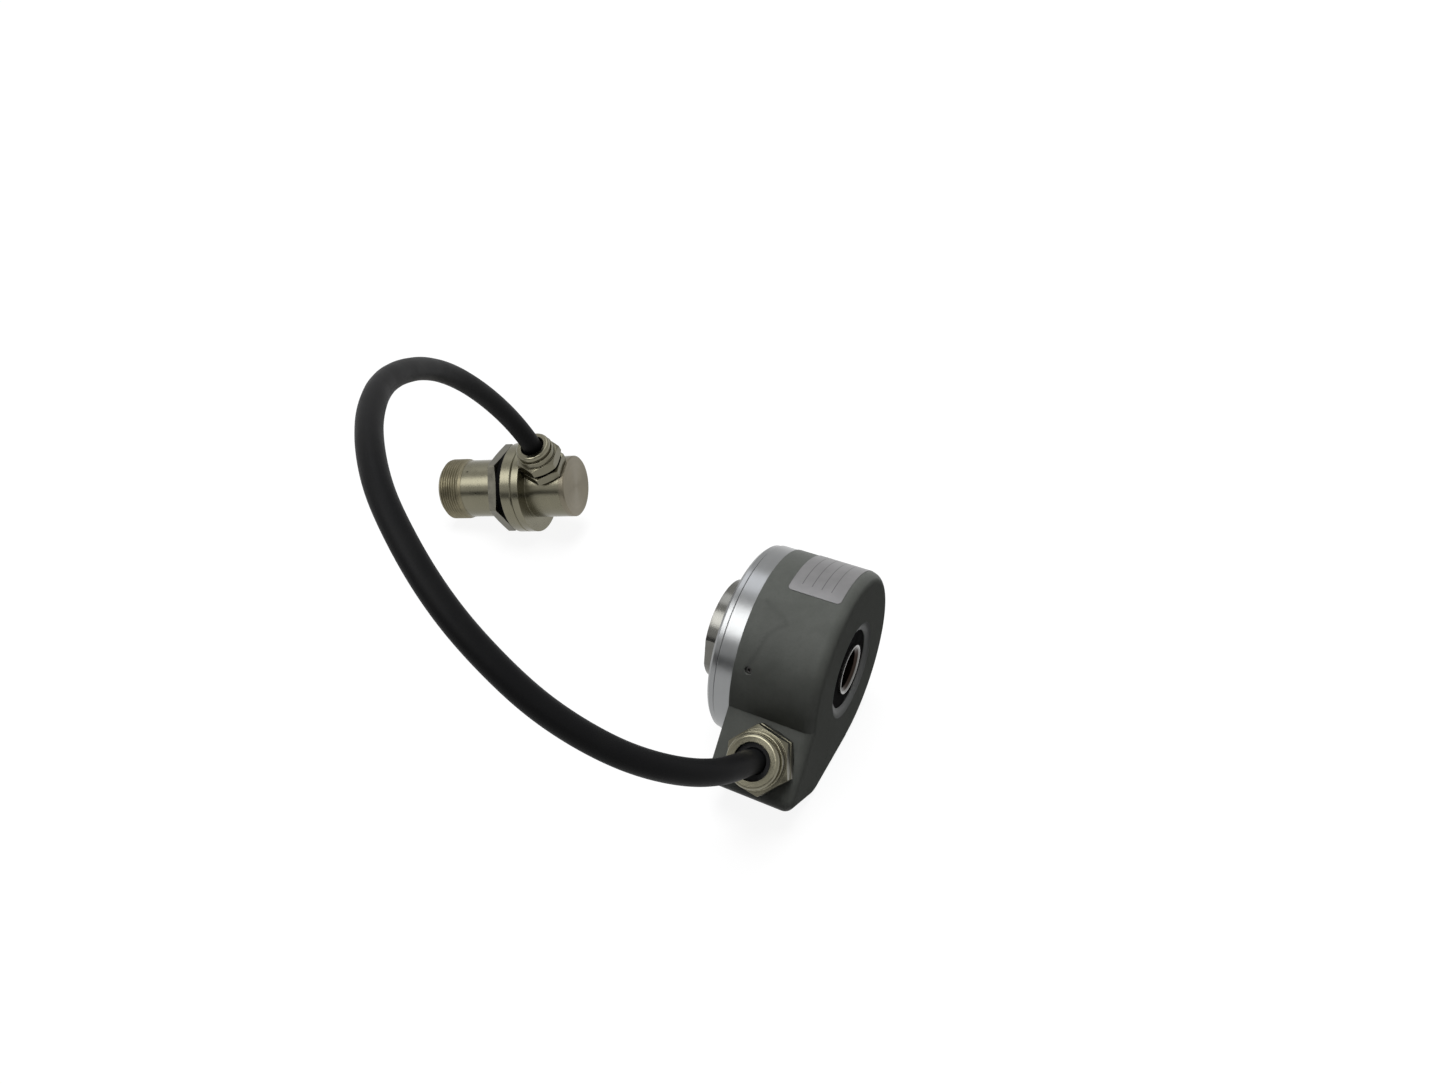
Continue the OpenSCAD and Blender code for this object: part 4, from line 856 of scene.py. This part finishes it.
class ENCODER_OT_cut_thread(bpy.types.Operator):
    """Cuts the thread on the connector's nose"""

    bl_idname = "encoder.cut_thread"
    bl_label = "Cut the thread"

    def execute(self, context):
        settings = context.scene.encoder_thread
        colours = context.scene.encoder_finish
        socket = MOUNTS["connector_socket"]["dims"]
        bore = socket["r_mm"] * MM
        length = socket["length_mm"] * MM
        major = MOUNTS["connector_thread"]["dims"]["r_mm"] * MM
        foot = Vector(MOUNTS["connector_socket"]["pos_m"]) - CONNECTOR[1] * length / 2
        seat = Matrix.Translation(foot) @ CONNECTOR[1].to_track_quat("Z", "Y").to_matrix().to_4x4()
        columns = []
        for k in range(settings.sides):
            angle = 2 * math.pi * k / settings.sides
            x, y = math.cos(angle), math.sin(angle)
            outline = self.profile(settings, bore, major, length, k / settings.sides)
            column = [(radius * x, radius * y, height) for height, radius in outline]
            columns.append([seat @ Vector(point) for point in column])
        mesh = closed_mesh("threaded_nose", columns)
        wear = {"roughness": 0.42, "marks": 0.5, "dullness": 0.2, "edge": 0.1}
        material = turned_metal("worn_thread_plating", colours.thread, CONNECTOR, **wear)
        add_piece("threaded_nose", mesh, material, "connector_nose")
        return {"FINISHED"}

    @staticmethod
    def profile(settings, bore, major, length, turn):
        """Height and radius round the nose's section, from the bore's rear edge to its front edge."""
        # Flanks this much steeper than a sharp thread's leave the crests flat
        steepness = 1.25
        outline = [(0.0, bore), (0.0, major - settings.depth)]
        rings = round(settings.steps * (length - settings.relief) / settings.pitch)
        for i in range(rings + 1):
            height = settings.relief + (length - settings.relief) * i / rings
            phase = (height / settings.pitch - turn) % 1
            crest = 1 - abs(2 * phase - 1)
            run_in = min(1.0, (height - settings.relief) / settings.pitch)
            radius = major - settings.depth * (1 - run_in * min(1.0, steepness * crest))
            cone = major - settings.chamfer + (length - height)
            outline.append((height, min(radius, cone)))
        outline.append((length, bore))
        return outline


class ENCODER_OT_finish_casing(bpy.types.Operator):
    """Finishes the housing, the flange and what seals and holds them"""

    bl_idname = "encoder.finish_casing"
    bl_label = "Finish the casing"

    def execute(self, context):
        colours = context.scene.encoder_finish
        dress(cast_housing(colours), "housing")
        turning = {"roughness": 0.3, "marks": 0.06, "dullness": 0.03, "streak": 0.015}
        dress(turned_metal("turned_aluminium", colours.aluminium, SHAFT, **turning), "flange")
        rubber = moulded("black_rubber", colours.rubber, roughness=0.8, shine=0.01)
        dress(rubber, "housing_o_ring", "front_seal", "rear_seal")
        blackened = plain_metal("blackened_steel", colours.black_steel, roughness=0.38)
        dress(blackened, "retaining_ring", "clamp_screw", "disc_hub_screws")
        set_screw = plain_metal("set_screw_steel", shade(colours.steel, 0.35), roughness=0.35)
        dress(set_screw, "housing_set_screws")
        return {"FINISHED"}


class ENCODER_OT_finish_rotor(bpy.types.Operator):
    """Finishes the shaft, the clamping ring and the disc that turns with them"""

    bl_idname = "encoder.finish_rotor"
    bl_label = "Finish the rotor"

    def execute(self, context):
        colours = context.scene.encoder_finish
        # The shaft's bore and its bevel get painted shade
        grinding = {"roughness": 0.22, "dullness": 0.08, "bore_shade": BORE_SHADE_END}
        dress(turned_metal("ground_steel", shade(colours.steel, 0.7), SHAFT, **grinding), "hollow_shaft")
        turning = {"roughness": 0.25, "marks": 0.06, "dullness": 0.12}
        dress(turned_metal("clamp_steel", colours.clamp, SHAFT, **turning), "clamping_ring")
        hub = turned_metal("hub_aluminium", shade(colours.aluminium, 0.85), SHAFT, roughness=0.3)
        dress(hub, "disc_hub")
        dress(disc_glass(colours), "code_disc")
        return {"FINISHED"}


class ENCODER_OT_finish_bearings(bpy.types.Operator):
    """Finishes the two ball bearings"""

    bl_idname = "encoder.finish_bearings"
    bl_label = "Finish the bearings"

    def execute(self, context):
        colours = context.scene.encoder_finish
        races = turned_metal("bearing_steel", shade(colours.steel, 1.1), SHAFT, roughness=0.16)
        dress(races, "front_outer_race", "front_inner_race", "rear_outer_race", "rear_inner_race")
        spacer = turned_metal("spacer_steel", shade(colours.steel, 0.85), SHAFT, roughness=0.3)
        dress(spacer, "race_spacer")
        balls = plain_metal("ball_steel", shade(colours.steel, 1.15), roughness=0.1, dullness=0.03)
        dress(balls, "front_balls", "rear_balls")
        dress(turned_metal("cage_brass", colours.brass, SHAFT, roughness=0.3), "front_cage", "rear_cage")
        return {"FINISHED"}


class ENCODER_OT_finish_scanner(bpy.types.Operator):
    """Finishes the light source, the sensor and the circuit board"""

    bl_idname = "encoder.finish_scanner"
    bl_label = "Finish the scanner"

    def execute(self, context):
        colours = context.scene.encoder_finish
        dress(moulded("black_moulding", colours.black_plastic), "led_holder", "sensor_chip")
        clear = {"roughness": 0.15, "shine": 0.5, "transmission_weight": 0.5}
        dress(moulded("clear_red", colours.red_plastic, **clear), "light_source")
        dress(plain_metal("mask_chrome", shade(colours.steel, 0.7), roughness=0.12), "scanning_mask")
        dress(board_laminate(colours), "circuit_board")
        dress(plain_metal("bare_brass", colours.brass, roughness=0.28), "board_spacers")
        dress(plain_metal("zinc_screw", shade(colours.steel, 0.95), roughness=0.3), "board_screws")
        dress(moulded("pale_moulding", colours.pale_plastic), "board_plug")
        dress(moulded("lead_insulation", colours.lead, roughness=0.5), "inner_leads")
        return {"FINISHED"}


class ENCODER_OT_finish_glands(bpy.types.Operator):
    """Finishes the two cable glands"""

    bl_idname = "encoder.finish_glands"
    bl_label = "Finish the glands"

    def execute(self, context):
        colours = context.scene.encoder_finish
        plating = {"roughness": 0.2, "marks": 0.06, "drawn": 0.3}
        # The hexagons of both glands get painted shade up to a height
        axis = (GLAND_FACE, GLAND[1])
        nickel = turned_metal("gland_nickel", colours.nickel, axis, painted_shade=GLAND_HEX_SHADE, **plating)
        dress(nickel, "gland_body", "gland_nut")
        axis = (ELBOW_FACE, ELBOW_GLAND[1])
        nickel = turned_metal("elbow_gland_nickel", colours.nickel, axis, painted_shade=ELBOW_HEX_SHADE, **plating)
        dress(nickel, "elbow_gland_body", "elbow_gland_nut")
        rubber = moulded("gland_rubber", colours.rubber, roughness=0.7, shine=0.03)
        dress(rubber, "gland_washer", "gland_seal", "elbow_gland_seal")
        dress(moulded("claw_moulding", colours.black_plastic, roughness=0.5), "gland_claw")
        return {"FINISHED"}


def index_place():
    """Place of the index dot on the connector's barrel, in millimetres."""
    point, axis = CONNECTOR
    upwards = Vector((0, 0, 1)).cross(axis).cross(-axis).normalized()
    return (point - INDEX_BACK * axis + BARREL_RADIUS * (Quaternion(axis, INDEX_TURN) @ upwards)) / MM


class ENCODER_OT_finish_connector(bpy.types.Operator):
    """Finishes the angled connector"""

    bl_idname = "encoder.finish_connector"
    bl_label = "Finish the connector"

    def execute(self, context):
        colours = context.scene.encoder_finish
        plating = {"roughness": 0.26, "marks": 0.03, "streak": 0.015}
        nickel = turned_metal("connector_nickel", colours.nickel, CONNECTOR, dot=index_place(), **plating)
        dress(nickel, "connector_elbow", "connector_shell")
        cap = turned_metal("cap_nickel", colours.cap, CONNECTOR, roughness=0.42, dullness=0.08)
        dress(cap, "connector_end_cap")
        dress(plain_metal("nut_zinc", colours.nut, roughness=0.3), "connector_lock_nut")
        dress(moulded("gasket_rubber", colours.rubber, roughness=0.7, shine=0.03), "connector_gasket")
        dress(moulded("insert_moulding", colours.black_plastic, roughness=0.45), "connector_insert")
        dress(plain_metal("gold_flash", colours.gold, roughness=0.2, dullness=0.05), "connector_pins")
        return {"FINISHED"}


class ENCODER_PT_looks(bpy.types.Panel):
    """Lists the encoder's settings and the steps that build its looks"""

    bl_label = "Encoder"
    bl_idname = "ENCODER_PT_looks"
    bl_space_type = "VIEW_3D"
    bl_region_type = "UI"
    bl_category = "Encoder"

    def draw(self, context):
        for operator in OPERATORS:
            self.layout.operator(operator.bl_idname)
        for name, group in GROUPS.items():
            box = self.layout.box()
            for key in group.__annotations__:
                box.prop(getattr(context.scene, name), key)


GROUPS = {
    "encoder_stage": StageSettings,
    "encoder_cable": CableSettings,
    "encoder_label": LabelSettings,
    "encoder_thread": ThreadSettings,
    "encoder_finish": FinishSettings,
}
OPERATORS = [
    ENCODER_OT_set_stage,
    ENCODER_OT_cut_thread,
    ENCODER_OT_lay_cable,
    ENCODER_OT_stick_label,
    ENCODER_OT_finish_casing,
    ENCODER_OT_finish_rotor,
    ENCODER_OT_finish_bearings,
    ENCODER_OT_finish_scanner,
    ENCODER_OT_finish_glands,
    ENCODER_OT_finish_connector,
]


def register():
    for made in [*GROUPS.values(), *OPERATORS, ENCODER_PT_looks]:
        bpy.utils.register_class(made)
    for name, group in GROUPS.items():
        setattr(bpy.types.Scene, name, PointerProperty(type=group))


def unregister():
    for name in GROUPS:
        delattr(bpy.types.Scene, name)
    for made in [ENCODER_PT_looks, *reversed(OPERATORS), *reversed(GROUPS.values())]:
        bpy.utils.unregister_class(made)


def main():
    register()
    for operator in OPERATORS:
        group, step = operator.bl_idname.split(".")
        getattr(getattr(bpy.ops, group), step)()


if __name__ == "__main__":
    main()
